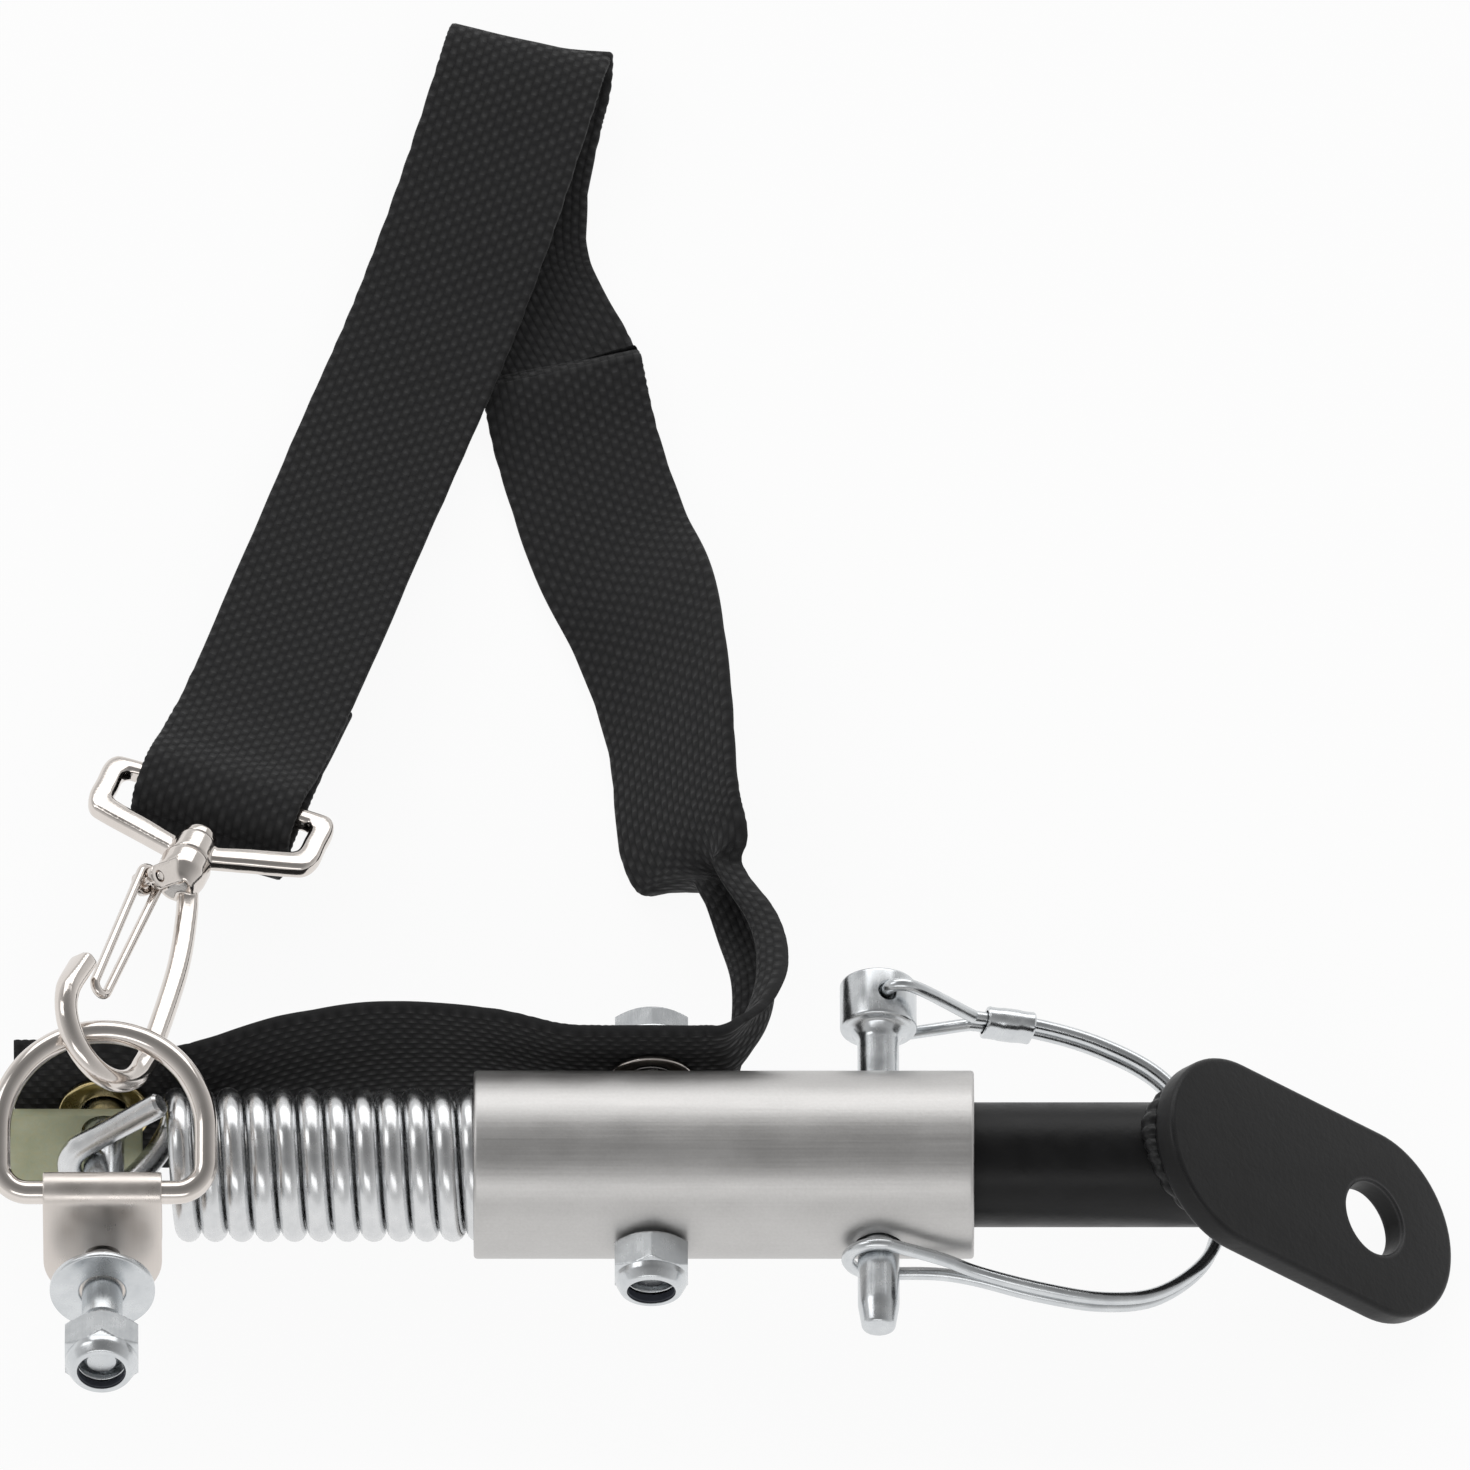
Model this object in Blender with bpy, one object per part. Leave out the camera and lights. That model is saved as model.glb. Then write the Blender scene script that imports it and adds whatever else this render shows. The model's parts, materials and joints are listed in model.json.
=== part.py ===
"""Coupler of a bicycle trailer with its wire lock pin, spring, safety strap, snap hook and D-ring.

Sizes are in millimetres. The coupler frame has X along the sleeve towards the hitch plate, with 0 on the
lock pin, Y away from the viewer and Z up from the sleeve's axis. The whole coupler then leans by TILT, so
that it lies on a table with the hitch plate's foot and the strap's edge down.
"""

import math

import bmesh
import bpy
from mathutils import Matrix, Vector

MM = 0.001

# Fits
GAP = 0.3
BOLT_CLEARANCE = 0.4

# Sleeve and what it holds
SLEEVE_DIAMETER = 28.6
SLEEVE_LENGTH = 76.0
SLEEVE_CHAMFER = 0.6
PIN_FROM_SLEEVE_END = 14.5
BOLT_FROM_SLEEVE_MOUTH = 27.0
SPRING_BORE_PAST_BOLT = 12.0

# Hitch tube and plate
TUBE_DIAMETER = 19.0
TUBE_WALL = 2.0
TUBE_INSERTION = 29.5
TUBE_AXIS_LENGTH = 68.3
TUBE_FIT = 0.35
PLATE_LENGTH = 61.0
PLATE_WIDTH = 31.0
PLATE_THICKNESS = 4.0
PLATE_ANGLE = math.radians(45)
PLATE_EDGE = 0.8
PLATE_HEEL = 17.0
AXLE_HOLE_DIAMETER = 12.0
AXLE_HOLE_FROM_TOE = 17.0
WELD_LEG = 3.0

# Quarter-inch bolts and nuts
BOLT_DIAMETER = 6.2
HEX_WALL = 2.45
HEAD_HEIGHT = 4.0
HEX_CHAMFER = 0.5
NUT_HEX_HEIGHT = 5.2
NUT_DOME_HEIGHT = 2.4
NUT_RING_HEIGHT = 1.6
NUT_RING_WALL = 0.55
WASHER_DIAMETER = 16.0
WASHER_THICKNESS = 1.2
EYELET_BARREL = 0.8
EYELET_FLANGE = 1.0
SLEEVE_EYELET_DIAMETER = 13.0
TOW_EYELET_DIAMETER = 14.0

# Lock pin and its wire
PIN_DIAMETER = 6.35
PIN_HEAD_DIAMETER = 11.7
PIN_HEAD_LENGTH = 8.0
PIN_NECK = 9.1
PIN_TIP_REACH = 14.3
PIN_TIP_TAPER = 4.0
PIN_TIP_DIAMETER = 5.0
WIRE_DIAMETER = 2.0
WIRE_DIP = math.radians(15)
WIRE_LOOP_CLEARANCE = 0.5
FERRULE_START = 16.8
FERRULE_LENGTH = 7.4
FERRULE_WALL = 0.7

# Spring
SPRING_WIRE = 3.5
SPRING_OUTSIDE = 23.2
SPRING_COIL_GAP = 0.55
SPRING_BORE_FIT = 0.5
POINTS_PER_CURL = 10
EYE_REACH = 10.4
EYE_LEAN = math.radians(37)
TOW_EYE_TAIL = 10.0
SLEEVE_EYE_TAIL = 4.0

# Drawbar end, on the tow bolt
TOW_BOLT_FROM_MOUTH = 56.2
TOW_ROLL = math.radians(-15)
TOW_STRAP_BACK = 12.8
TOW_BOLT_FRONT = 43.0
TOW_WASHER_FRONT = 26.0
TAB_SIZE = (21.0, 14.5, 1.5)
TAB_BACK = 7.0
TAB_OFFSET = (-5.5, -3.2)

# D-ring and its clip
RING_WIRE = 3.6
RING_WIDTH = 35.0
RING_HEIGHT = 29.0
RING_CORNER = 4.5
RING_LEAN = math.radians(62)
CLIP_THICKNESS = 1.0
CLIP_WIDTH = 18.0
CLIP_FRONT = 17.5
CLIP_BAR_RISE = 11.8

# Snap hook: its own frame has y from the ring to the strap
SWIVEL_FROM_TOW_BOLT = (12.3, 47.5, 8.5)
HOOK_WIRE = 3.5
HOOK_WIDTH = 18.0
HOOK_PAST_RING = -1.7
HOOK_ROLL = math.radians(45)
HOOK_BILL = 5.5
COLLAR_DIAMETER = 8.0
COLLAR_LENGTH = 6.0
HUB_DIAMETER = 6.8
HUB_LENGTH = 4.2
RIVET_DIAMETER = 3.2
RIVET_KNOB_DIAMETER = 5.4
RIVET_KNOB_LENGTH = 1.9
FRAME_THICKNESS = 3.0
FRAME_EDGE = 0.9
FRAME_BAR = 2.8
FRAME_SIDE = 3.6
FRAME_WIDTH = 37.0
FRAME_ARM = 7.4
FRAME_DEPTH = 17.2
FRAME_CORNER = 3.2
GATE_WIRE = 1.5
GATE_PIVOT = (-4.6, -9.0)
GATE_LENGTH = 25.0
GATE_LEAN = 0.7
GATE_HALF_WIDTHS = (2.0, 1.4)
GATE_PIN_DIAMETER = 1.4
EAR_THICKNESS = 1.1

# Webbing
STRAP_WIDTH = 25.0
STRAP_THICKNESS = 1.6
STRAP_END_PAST_BOLT = 13.7
STRAP_SLACK = 5.2
TOW_STRAP_RAISE = 1.0

# Derived places
SLEEVE_RADIUS = SLEEVE_DIAMETER / 2
SLEEVE_END = PIN_FROM_SLEEVE_END
SLEEVE_MOUTH = SLEEVE_END - SLEEVE_LENGTH
SLEEVE_BOLT_X = SLEEVE_MOUTH + BOLT_FROM_SLEEVE_MOUTH
TOW_BOLT_X = SLEEVE_MOUTH - TOW_BOLT_FROM_MOUTH
BOLT_RADIUS = BOLT_DIAMETER / 2
HEX_FLATS = BOLT_DIAMETER + 2 * HEX_WALL
BOLT_HOLE = BOLT_RADIUS + BOLT_CLEARANCE
PIN_RADIUS = PIN_DIAMETER / 2
WIRE_RADIUS = WIRE_DIAMETER / 2
SPRING_PITCH = SPRING_WIRE + SPRING_COIL_GAP
COIL_RADIUS = (SPRING_OUTSIDE - SPRING_WIRE) / 2
SPRING_BORE = SPRING_OUTSIDE / 2 + SPRING_BORE_FIT
EYE_RADIUS = BOLT_RADIUS + BOLT_CLEARANCE + SPRING_WIRE / 2
SLEEVE_STRAP_BACK = SLEEVE_RADIUS + GAP + EYELET_FLANGE + GAP + STRAP_THICKNESS / 2
PIN_HEAD_Y = SLEEVE_RADIUS + PIN_NECK
PIN_EYE_Y = PIN_HEAD_Y + PIN_HEAD_LENGTH / 2
PIN_TIP_Y = -SLEEVE_RADIUS - PIN_TIP_REACH
STRAND_OFFSET = WIRE_RADIUS + GAP / 2
TUBE_START = SLEEVE_END - TUBE_INSERTION
PLATE_BACK_X = TUBE_START + TUBE_AXIS_LENGTH
FLEX_PIVOT_X = SLEEVE_MOUTH - EYE_REACH * 1.5
CENTIMETRE = 10.0

# The floor in the coupler frame: it passes under the plate's foot and the strap's edge at the tow bolt.
PLATE_ALONG = Vector((math.cos(PLATE_ANGLE), 0, -math.sin(PLATE_ANGLE)))
PLATE_NORMAL = Vector((math.sin(PLATE_ANGLE), 0, math.cos(PLATE_ANGLE)))
PLATE_BACK = Vector((PLATE_BACK_X + GAP / math.sin(PLATE_ANGLE), 0, 0))
PLATE_FOOT = PLATE_BACK + PLATE_ALONG * (PLATE_LENGTH - PLATE_HEEL)
TOW_EDGE = (
    TOW_STRAP_BACK * math.sin(TOW_ROLL)
    + (TOW_STRAP_RAISE - STRAP_WIDTH / 2) * math.cos(TOW_ROLL)
    - GAP
)
TOW_EDGE_X = TOW_BOLT_X - STRAP_END_PAST_BOLT
FLOOR_SLOPE = (PLATE_FOOT.z - TOW_EDGE) / (PLATE_FOOT.x - TOW_EDGE_X)
TILT = math.atan(-FLOOR_SLOPE)


def floor_at(x, height):
    """Z in the coupler frame of a point that is height above the table."""
    return TOW_EDGE + FLOOR_SLOPE * (x - TOW_EDGE_X) + height


def clear_scene():
    for old in list(bpy.data.objects):
        bpy.data.objects.remove(old, do_unlink=True)


def material(name, colour, roughness, metallic):
    made = bpy.data.materials.new(name)
    made.use_nodes = True
    shader = made.node_tree.nodes["Principled BSDF"]
    shader.inputs["Base Color"].default_value = (*colour, 1)
    shader.inputs["Roughness"].default_value = roughness
    shader.inputs["Metallic"].default_value = metallic
    return made


def axis_empty(name, parent, matrix):
    empty = bpy.data.objects.new(name, None)
    bpy.context.scene.collection.objects.link(empty)
    empty.parent = parent
    empty.matrix_local = matrix
    return empty


def place(x, y, z, turn=0.0, about="X"):
    return Matrix.Translation(Vector((x, y, z)) * MM) @ Matrix.Rotation(turn, 4, about)


def mesh_object(name, mesh_points, faces, finish, parent, matrix=None, sharp=35):
    """A closed mesh from points in millimetres, with its faces turned outwards."""
    shape = bmesh.new()
    corners = [shape.verts.new(Vector(p) * MM) for p in mesh_points]
    for face in faces:
        shape.faces.new([corners[i] for i in face])
    bmesh.ops.recalc_face_normals(shape, faces=shape.faces)
    mesh = bpy.data.meshes.new(name)
    shape.to_mesh(mesh)
    shape.free()
    mesh.materials.append(finish)
    mesh.shade_smooth()
    mesh.set_sharp_from_angle(angle=math.radians(sharp))
    made = bpy.data.objects.new(name, mesh)
    bpy.context.scene.collection.objects.link(made)
    made.parent = parent
    made.matrix_local = matrix or Matrix()
    return made


def hexagon(flats, corner=math.inf):
    """Radius of a hexagon at an angle, with its corners turned down to the corner radius."""

    def radius(angle):
        off = (angle + math.pi / 6) % (math.pi / 3) - math.pi / 6
        return min(flats / 2 / math.cos(off), corner)

    return radius


def skin(row_count, sides, closed_rows):
    """Quads over rows of points, closed round each row, with end caps unless the rows close too."""
    faces = []
    for row in range(row_count if closed_rows else row_count - 1):
        low = row * sides
        high = (row + 1) % row_count * sides
        for side in range(sides):
            after = (side + 1) % sides
            faces.append((low + side, low + after, high + after, high + side))
    if not closed_rows:
        faces.append(tuple(range(sides)))
        faces.append(tuple(range((row_count - 1) * sides, row_count * sides)))
    return faces


def turned(name, rows, finish, parent, matrix=None, sides=24, ring=False):
    """A turned piece about its own Z: rows are (radius or outline, z), and a ring's rows close."""
    points = []
    for outline, z in rows:
        for side in range(sides):
            angle = 2 * math.pi * side / sides
            radius = outline(angle) if callable(outline) else outline
            points.append((radius * math.cos(angle), radius * math.sin(angle), z))
    return mesh_object(name, points, skin(len(rows), sides, ring), finish, parent, matrix)


def ring_of(inner, outer, low, high):
    return [(inner, low), (outer, low), (outer, high), (inner, high)]


def prism(name, outline, low, high, finish, parent, matrix=None):
    points = [(*p, low) for p in outline] + [(*p, high) for p in outline]
    return mesh_object(name, points, skin(2, len(outline), False), finish, parent, matrix)


def obround(half_length, radius, steps=10):
    """Outline of a slot shape along x."""
    points = []
    for side, start in ((1, -90), (-1, 90)):
        for step in range(steps + 1):
            angle = math.radians(start + 180 * step / steps)
            points.append(
                (side * half_length + radius * math.cos(angle), radius * math.sin(angle))
            )
    return points


def tube(name, points, radius, finish, parent, matrix=None, cyclic=False, resolution=2):
    """A round wire through points, as a bevelled curve with filled caps."""
    curve = bpy.data.curves.new(name, "CURVE")
    curve.dimensions = "3D"
    curve.bevel_depth = radius * MM
    curve.bevel_resolution = resolution
    curve.use_fill_caps = not cyclic
    spline = curve.splines.new("POLY")
    spline.points.add(len(points) - 1)
    for target, point in zip(spline.points, points):
        target.co = (*(Vector(point) * MM), 1)
    spline.use_cyclic_u = cyclic
    spline.use_smooth = True
    curve.materials.append(finish)
    made = bpy.data.objects.new(name, curve)
    bpy.context.scene.collection.objects.link(made)
    made.parent = parent
    made.matrix_local = matrix or Matrix()
    return made


def as_mesh(wire):
    """The same wire as a mesh, so that it can take a Boolean."""
    name = wire.name
    mesh = bpy.data.meshes.new_from_object(wire)
    made = bpy.data.objects.new(name + "_mesh", mesh)
    bpy.context.scene.collection.objects.link(made)
    made.parent = wire.parent
    made.matrix_local = wire.matrix_local
    bpy.data.objects.remove(wire, do_unlink=True)
    made.name = name
    return made


def combine(target, other, operation="DIFFERENCE"):
    modifier = target.modifiers.new(operation.lower(), "BOOLEAN")
    modifier.operation = operation
    modifier.object = other
    other.hide_render = True
    other.display_type = "WIRE"


def drill(target, radius, low, high, parent, matrix):
    cutter = turned(
        target.name + "_drill", [(radius, low), (radius, high)], None, parent, matrix
    )
    combine(target, cutter)


def smooth(keys, steps):
    """Points on a Catmull-Rom curve through the keys, each a tuple of equal length."""
    keys = [Vector(key) for key in keys]
    padded = [2 * keys[0] - keys[1], *keys, 2 * keys[-1] - keys[-2]]
    points = []
    for a, b, c, d in zip(padded, padded[1:], padded[2:], padded[3:]):
        for step in range(steps):
            t = step / steps
            points.append(
                0.5
                * (
                    2 * b
                    + (c - a) * t
                    + (2 * a - 5 * b + 4 * c - d) * t**2
                    + (3 * b - 3 * c + d - a) * t**3
                )
            )
    return [*points, keys[-1]]


def ribbon(name, stations, thickness, finish, parent, matrix=None):
    """A flat strip through stations of (centre, across, half width)."""
    points = []
    for index, (centre, across, half_width) in enumerate(stations):
        before = stations[max(index - 1, 0)][0]
        after = stations[min(index + 1, len(stations) - 1)][0]
        along = (after - before).normalized()
        across = (across - along * across.dot(along)).normalized()
        lift = along.cross(across) * thickness / 2
        side = across * half_width
        points += [centre - side - lift, centre + side - lift, centre + side + lift, centre - side + lift]
    return mesh_object(name, points, skin(len(stations), 4, False), finish, parent, matrix)


clear_scene()

ALUMINIUM = material("satin_aluminium", (0.62, 0.61, 0.6), 0.38, 1.0)
ZINC = material("bright_zinc", (0.68, 0.7, 0.72), 0.28, 1.0)
NICKEL = material("warm_nickel", (0.74, 0.69, 0.64), 0.2, 1.0)
YELLOW_ZINC = material("yellow_zinc", (0.66, 0.54, 0.3), 0.35, 1.0)
BLACK_PAINT = material("black_powder_coat", (0.025, 0.025, 0.026), 0.45, 0.0)
NYLON = material("dark_nylon", (0.05, 0.055, 0.07), 0.5, 0.0)
WEBBING = material("black_webbing", (0.022, 0.022, 0.023), 0.85, 0.0)
TAB_GREEN = material("pale_olive_sheet", (0.5, 0.53, 0.38), 0.6, 0.0)

to_front = Matrix.Rotation(math.radians(90), 4, "X")

coupler = axis_empty("coupler", None, Matrix.Rotation(-TILT, 4, "Y"))
lock_axis = axis_empty("lock_pin_axis", coupler, place(0, 0, 0, WIRE_DIP, "Y"))
tow_axis = axis_empty("tow_bolt_axis", coupler, place(TOW_BOLT_X, 0, 0, TOW_ROLL))


# Sleeve
def make_sleeve():
    """Turned tube with a wide bore for the spring and a narrower one for the hitch tube."""
    step_x = SLEEVE_BOLT_X + SPRING_BORE_PAST_BOLT
    tube_bore = TUBE_DIAMETER / 2 + TUBE_FIT
    rows = [
        (SPRING_BORE, SLEEVE_MOUTH),
        (SLEEVE_RADIUS - SLEEVE_CHAMFER, SLEEVE_MOUTH),
        (SLEEVE_RADIUS, SLEEVE_MOUTH + SLEEVE_CHAMFER),
        (SLEEVE_RADIUS, SLEEVE_END - SLEEVE_CHAMFER),
        (SLEEVE_RADIUS - SLEEVE_CHAMFER, SLEEVE_END),
        (tube_bore, SLEEVE_END),
        (tube_bore, step_x),
        (SPRING_BORE, step_x),
    ]
    along_x = Matrix.Rotation(math.radians(90), 4, "Y")
    sleeve = turned("sleeve", rows, ALUMINIUM, coupler, along_x, sides=48, ring=True)
    reach = SLEEVE_RADIUS + GAP
    drill(sleeve, PIN_RADIUS + BOLT_CLEARANCE, -reach, reach, coupler, to_front)
    drill(sleeve, BOLT_HOLE, -reach, reach, coupler, place(SLEEVE_BOLT_X, 0, 0) @ to_front)


# Hitch tube, plate and weld
def make_hitch():
    outer = TUBE_DIAMETER / 2
    rows = ring_of(outer - TUBE_WALL, outer, TUBE_START, PLATE_BACK_X + TUBE_DIAMETER)
    along_x = Matrix.Rotation(math.radians(90), 4, "Y")
    hitch_tube = turned("hitch_tube", rows, BLACK_PAINT, coupler, along_x, sides=32, ring=True)
    drill(hitch_tube, PIN_RADIUS + BOLT_CLEARANCE, -outer - GAP, outer + GAP, coupler, to_front)

    # The plate's own frame: x along the plate, y across it, z out of its face, with 0 on its back.
    across = PLATE_NORMAL.cross(PLATE_ALONG)
    turn = Matrix((PLATE_ALONG, across, PLATE_NORMAL)).transposed().to_4x4()
    on_plate = Matrix.Translation(PLATE_BACK * MM) @ turn
    mitre = prism(
        "mitre_cutter",
        obround(PLATE_LENGTH, PLATE_WIDTH),
        -GAP,
        TUBE_DIAMETER * 2,
        None,
        coupler,
        on_plate,
    )
    combine(hitch_tube, mitre)

    middle = PLATE_LENGTH / 2 - PLATE_HEEL
    outline = obround(PLATE_LENGTH / 2 - PLATE_WIDTH / 2, PLATE_WIDTH / 2, steps=16)
    outline = [(x + middle, y) for x, y in outline]
    plate = prism("hitch_plate", outline, 0, PLATE_THICKNESS, BLACK_PAINT, coupler, on_plate)
    edge = plate.modifiers.new("rounded_edge", "BEVEL")
    edge.width = PLATE_EDGE * MM
    edge.segments = 2
    edge.limit_method = "ANGLE"
    edge.angle_limit = math.radians(60)
    hole_x = PLATE_LENGTH - PLATE_HEEL - AXLE_HOLE_FROM_TOE
    at_hole = on_plate @ place(hole_x, 0, 0)
    drill(plate, AXLE_HOLE_DIAMETER / 2, -GAP, PLATE_THICKNESS + GAP, coupler, at_hole)

    # The bead lies in the corner between the tube and the plate's back, as a triangle swept round the tube.
    points = []
    sides = 32
    slope = 1 / math.tan(PLATE_ANGLE)
    for side in range(sides):
        angle = 2 * math.pi * side / sides
        for radius, back in ((outer + GAP, 0), (outer + GAP + WELD_LEG, 0), (outer + GAP, WELD_LEG)):
            y = radius * math.cos(angle)
            z = radius * math.sin(angle)
            x = PLATE_BACK_X - GAP / math.sin(PLATE_ANGLE) - z * slope
            points.append((x - back, y, z))
    mesh_object("weld_bead", points, skin(sides, 3, True), BLACK_PAINT, coupler)
    return on_plate, at_hole


# Fasteners
def hex_bolt(name, head_at, end, parent, matrix):
    """Hex bolt along its own z, with the underside of its head at head_at."""
    rows = [
        (hexagon(HEX_FLATS, HEX_FLATS / 2), head_at - HEAD_HEIGHT),
        (hexagon(HEX_FLATS), head_at - HEAD_HEIGHT + HEX_CHAMFER),
        (hexagon(HEX_FLATS), head_at),
        (BOLT_RADIUS, head_at),
        (BOLT_RADIUS, end - HEX_CHAMFER),
        (BOLT_RADIUS - HEX_CHAMFER, end),
    ]
    turned(name, rows, ZINC, parent, matrix)


def lock_nut(name, at, parent, matrix):
    """Nylon-insert lock nut: a hexagon with a domed crown that holds a nylon ring."""
    crown = NUT_HEX_HEIGHT + NUT_DOME_HEIGHT
    seat = HEX_FLATS / 2 - 1.0
    ring_outer = BOLT_HOLE + NUT_RING_WALL
    pocket = ring_outer + GAP
    rows = [
        (BOLT_HOLE, 0),
        (HEX_FLATS / 2, 0),
        (hexagon(HEX_FLATS), HEX_CHAMFER),
        (hexagon(HEX_FLATS), NUT_HEX_HEIGHT - HEX_CHAMFER),
        (HEX_FLATS / 2, NUT_HEX_HEIGHT),
        (HEX_FLATS / 2 - 0.3, crown - 0.9),
        (seat + 0.1, crown),
        (pocket, crown),
        (pocket, crown - NUT_RING_HEIGHT - GAP),
        (BOLT_HOLE, crown - NUT_RING_HEIGHT - GAP),
    ]
    seated = matrix @ place(0, 0, at)
    turned(name, rows, ZINC, parent, seated, ring=True)
    ring = ring_of(BOLT_HOLE, ring_outer, crown - NUT_RING_HEIGHT, crown - GAP)
    turned(name + "_ring", ring, NYLON, parent, seated, ring=True)


def washer(name, low, finish, parent, matrix):
    rows = ring_of(BOLT_HOLE, WASHER_DIAMETER / 2, low, low + WASHER_THICKNESS)
    turned(name, rows, finish, parent, matrix, ring=True)


def eyelet(name, diameter, strap_at, finish, parent, matrix):
    """Two-flanged eyelet clenched round the hole in the strap."""
    barrel = BOLT_HOLE + EYELET_BARREL
    grip = STRAP_THICKNESS / 2 + GAP
    rows = [
        (BOLT_HOLE, strap_at - grip - EYELET_FLANGE),
        (diameter / 2, strap_at - grip - EYELET_FLANGE),
        (diameter / 2, strap_at - grip),
        (barrel, strap_at - grip),
        (barrel, strap_at + grip),
        (diameter / 2, strap_at + grip),
        (diameter / 2, strap_at + grip + EYELET_FLANGE),
        (BOLT_HOLE, strap_at + grip + EYELET_FLANGE),
    ]
    turned(name, rows, finish, parent, matrix, ring=True)


def back_stack(prefix, strap_back, diameter, end, eyelet_finish, parent, matrix):
    """Bolt with its head behind the strap, its back washer and the strap's eyelet."""
    behind = strap_back + STRAP_THICKNESS / 2 + GAP + EYELET_FLANGE + GAP
    washer(prefix + "_back_washer", -behind - WASHER_THICKNESS, ZINC, parent, matrix)
    hex_bolt(prefix + "_bolt", -behind - WASHER_THICKNESS - GAP, end, parent, matrix)
    eyelet(prefix + "_strap_eyelet", diameter, -strap_back, eyelet_finish, parent, matrix)


def make_fasteners():
    at_sleeve = place(SLEEVE_BOLT_X, 0, 0) @ to_front
    nut_at = SLEEVE_RADIUS + GAP
    nut_top = nut_at + NUT_HEX_HEIGHT + NUT_DOME_HEIGHT
    back_stack(
        "sleeve", SLEEVE_STRAP_BACK, SLEEVE_EYELET_DIAMETER, nut_top - 1.0, NICKEL, coupler, at_sleeve
    )
    lock_nut("sleeve_nut", nut_at, coupler, at_sleeve)

    back_stack(
        "tow", TOW_STRAP_BACK, TOW_EYELET_DIAMETER, TOW_BOLT_FRONT, YELLOW_ZINC, tow_axis, to_front
    )
    washer("tow_front_washer", TOW_WASHER_FRONT, ZINC, tow_axis, to_front)
    lock_nut("tow_nut", TOW_BOLT_FRONT + 1.0 - NUT_HEX_HEIGHT - NUT_DOME_HEIGHT, tow_axis, to_front)


# Lock pin, wire and ferrule, in the frame that dips with the wire bow
def make_lock_pin():
    head = PIN_HEAD_DIAMETER / 2
    edge = 0.5
    rows = [
        (head - edge, -PIN_HEAD_Y - PIN_HEAD_LENGTH),
        (head, -PIN_HEAD_Y - PIN_HEAD_LENGTH + edge),
        (head, -PIN_HEAD_Y - edge),
        (head - edge, -PIN_HEAD_Y),
        (PIN_RADIUS + 1.2, -PIN_HEAD_Y),
        (PIN_RADIUS, -PIN_HEAD_Y + 1.6),
        (PIN_RADIUS, -PIN_TIP_Y - PIN_TIP_TAPER),
        (PIN_TIP_DIAMETER / 2, -PIN_TIP_Y),
    ]
    pin = turned("lock_pin", rows, ZINC, lock_axis, to_front, sides=28)
    drill(pin, WIRE_RADIUS + BOLT_CLEARANCE, -head - GAP, head + GAP, lock_axis, place(0, PIN_EYE_Y, 0))

    out = PIN_HEAD_DIAMETER / 2 + WIRE_RADIUS
    ferrule_end = FERRULE_START + FERRULE_LENGTH
    loop_y = -SLEEVE_RADIUS - WIRE_DIAMETER - 0.1
    loop = PIN_RADIUS + WIRE_LOOP_CLEARANCE + WIRE_RADIUS
    strand = [
        (0, PIN_EYE_Y, 0),
        (0, PIN_EYE_Y, 3.2),
        (0, PIN_EYE_Y, out - 0.5),
        (1.0, PIN_EYE_Y, out + 0.9),
        (3.0, PIN_EYE_Y, out + 1.1),
        (6.5, PIN_EYE_Y, out - 0.6),
        (11.0, PIN_EYE_Y, 3.5),
        (14.3, PIN_EYE_Y, STRAND_OFFSET + 0.35),
        (FERRULE_START - 1.0, PIN_EYE_Y, STRAND_OFFSET),
        (ferrule_end + 1.0, PIN_EYE_Y, STRAND_OFFSET),
        (35.0, PIN_EYE_Y - 1.8, STRAND_OFFSET),
        (44.0, PIN_EYE_Y - 5.8, STRAND_OFFSET),
        (50.5, PIN_EYE_Y - 13.2, STRAND_OFFSET),
        (53.5, 5.0, STRAND_OFFSET),
        (53.5, -4.0, STRAND_OFFSET),
        (50.5, -10.8, STRAND_OFFSET),
        (43.5, loop_y - 0.3, STRAND_OFFSET),
        (35.0, loop_y - 2.4, STRAND_OFFSET),
        (25.0, loop_y - 2.1, STRAND_OFFSET),
        (15.5, loop_y - 0.8, STRAND_OFFSET),
        (9.5, loop_y, 2.3),
    ]
    for degrees in (65, 95, 125, 155, 180):
        angle = math.radians(degrees)
        strand.append((loop * math.cos(angle), loop_y, loop * math.sin(angle)))
    upper = smooth(strand, 2)
    lower = [Vector((p.x, p.y, -p.z)) for p in reversed(upper[1:-1])]
    tube("lock_wire", upper + lower, WIRE_RADIUS, ZINC, lock_axis, cyclic=True, resolution=1)

    inner = obround(STRAND_OFFSET, WIRE_RADIUS + GAP, steps=6)
    outer = obround(STRAND_OFFSET, WIRE_RADIUS + GAP + FERRULE_WALL, steps=6)
    points = []
    for outline, x in (
        (inner, FERRULE_START),
        (outer, FERRULE_START),
        (outer, ferrule_end),
        (inner, ferrule_end),
    ):
        points += [(x, PIN_EYE_Y + across, up) for up, across in outline]
    mesh_object("wire_ferrule", points, skin(4, len(inner), True), ZINC, lock_axis)


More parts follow.
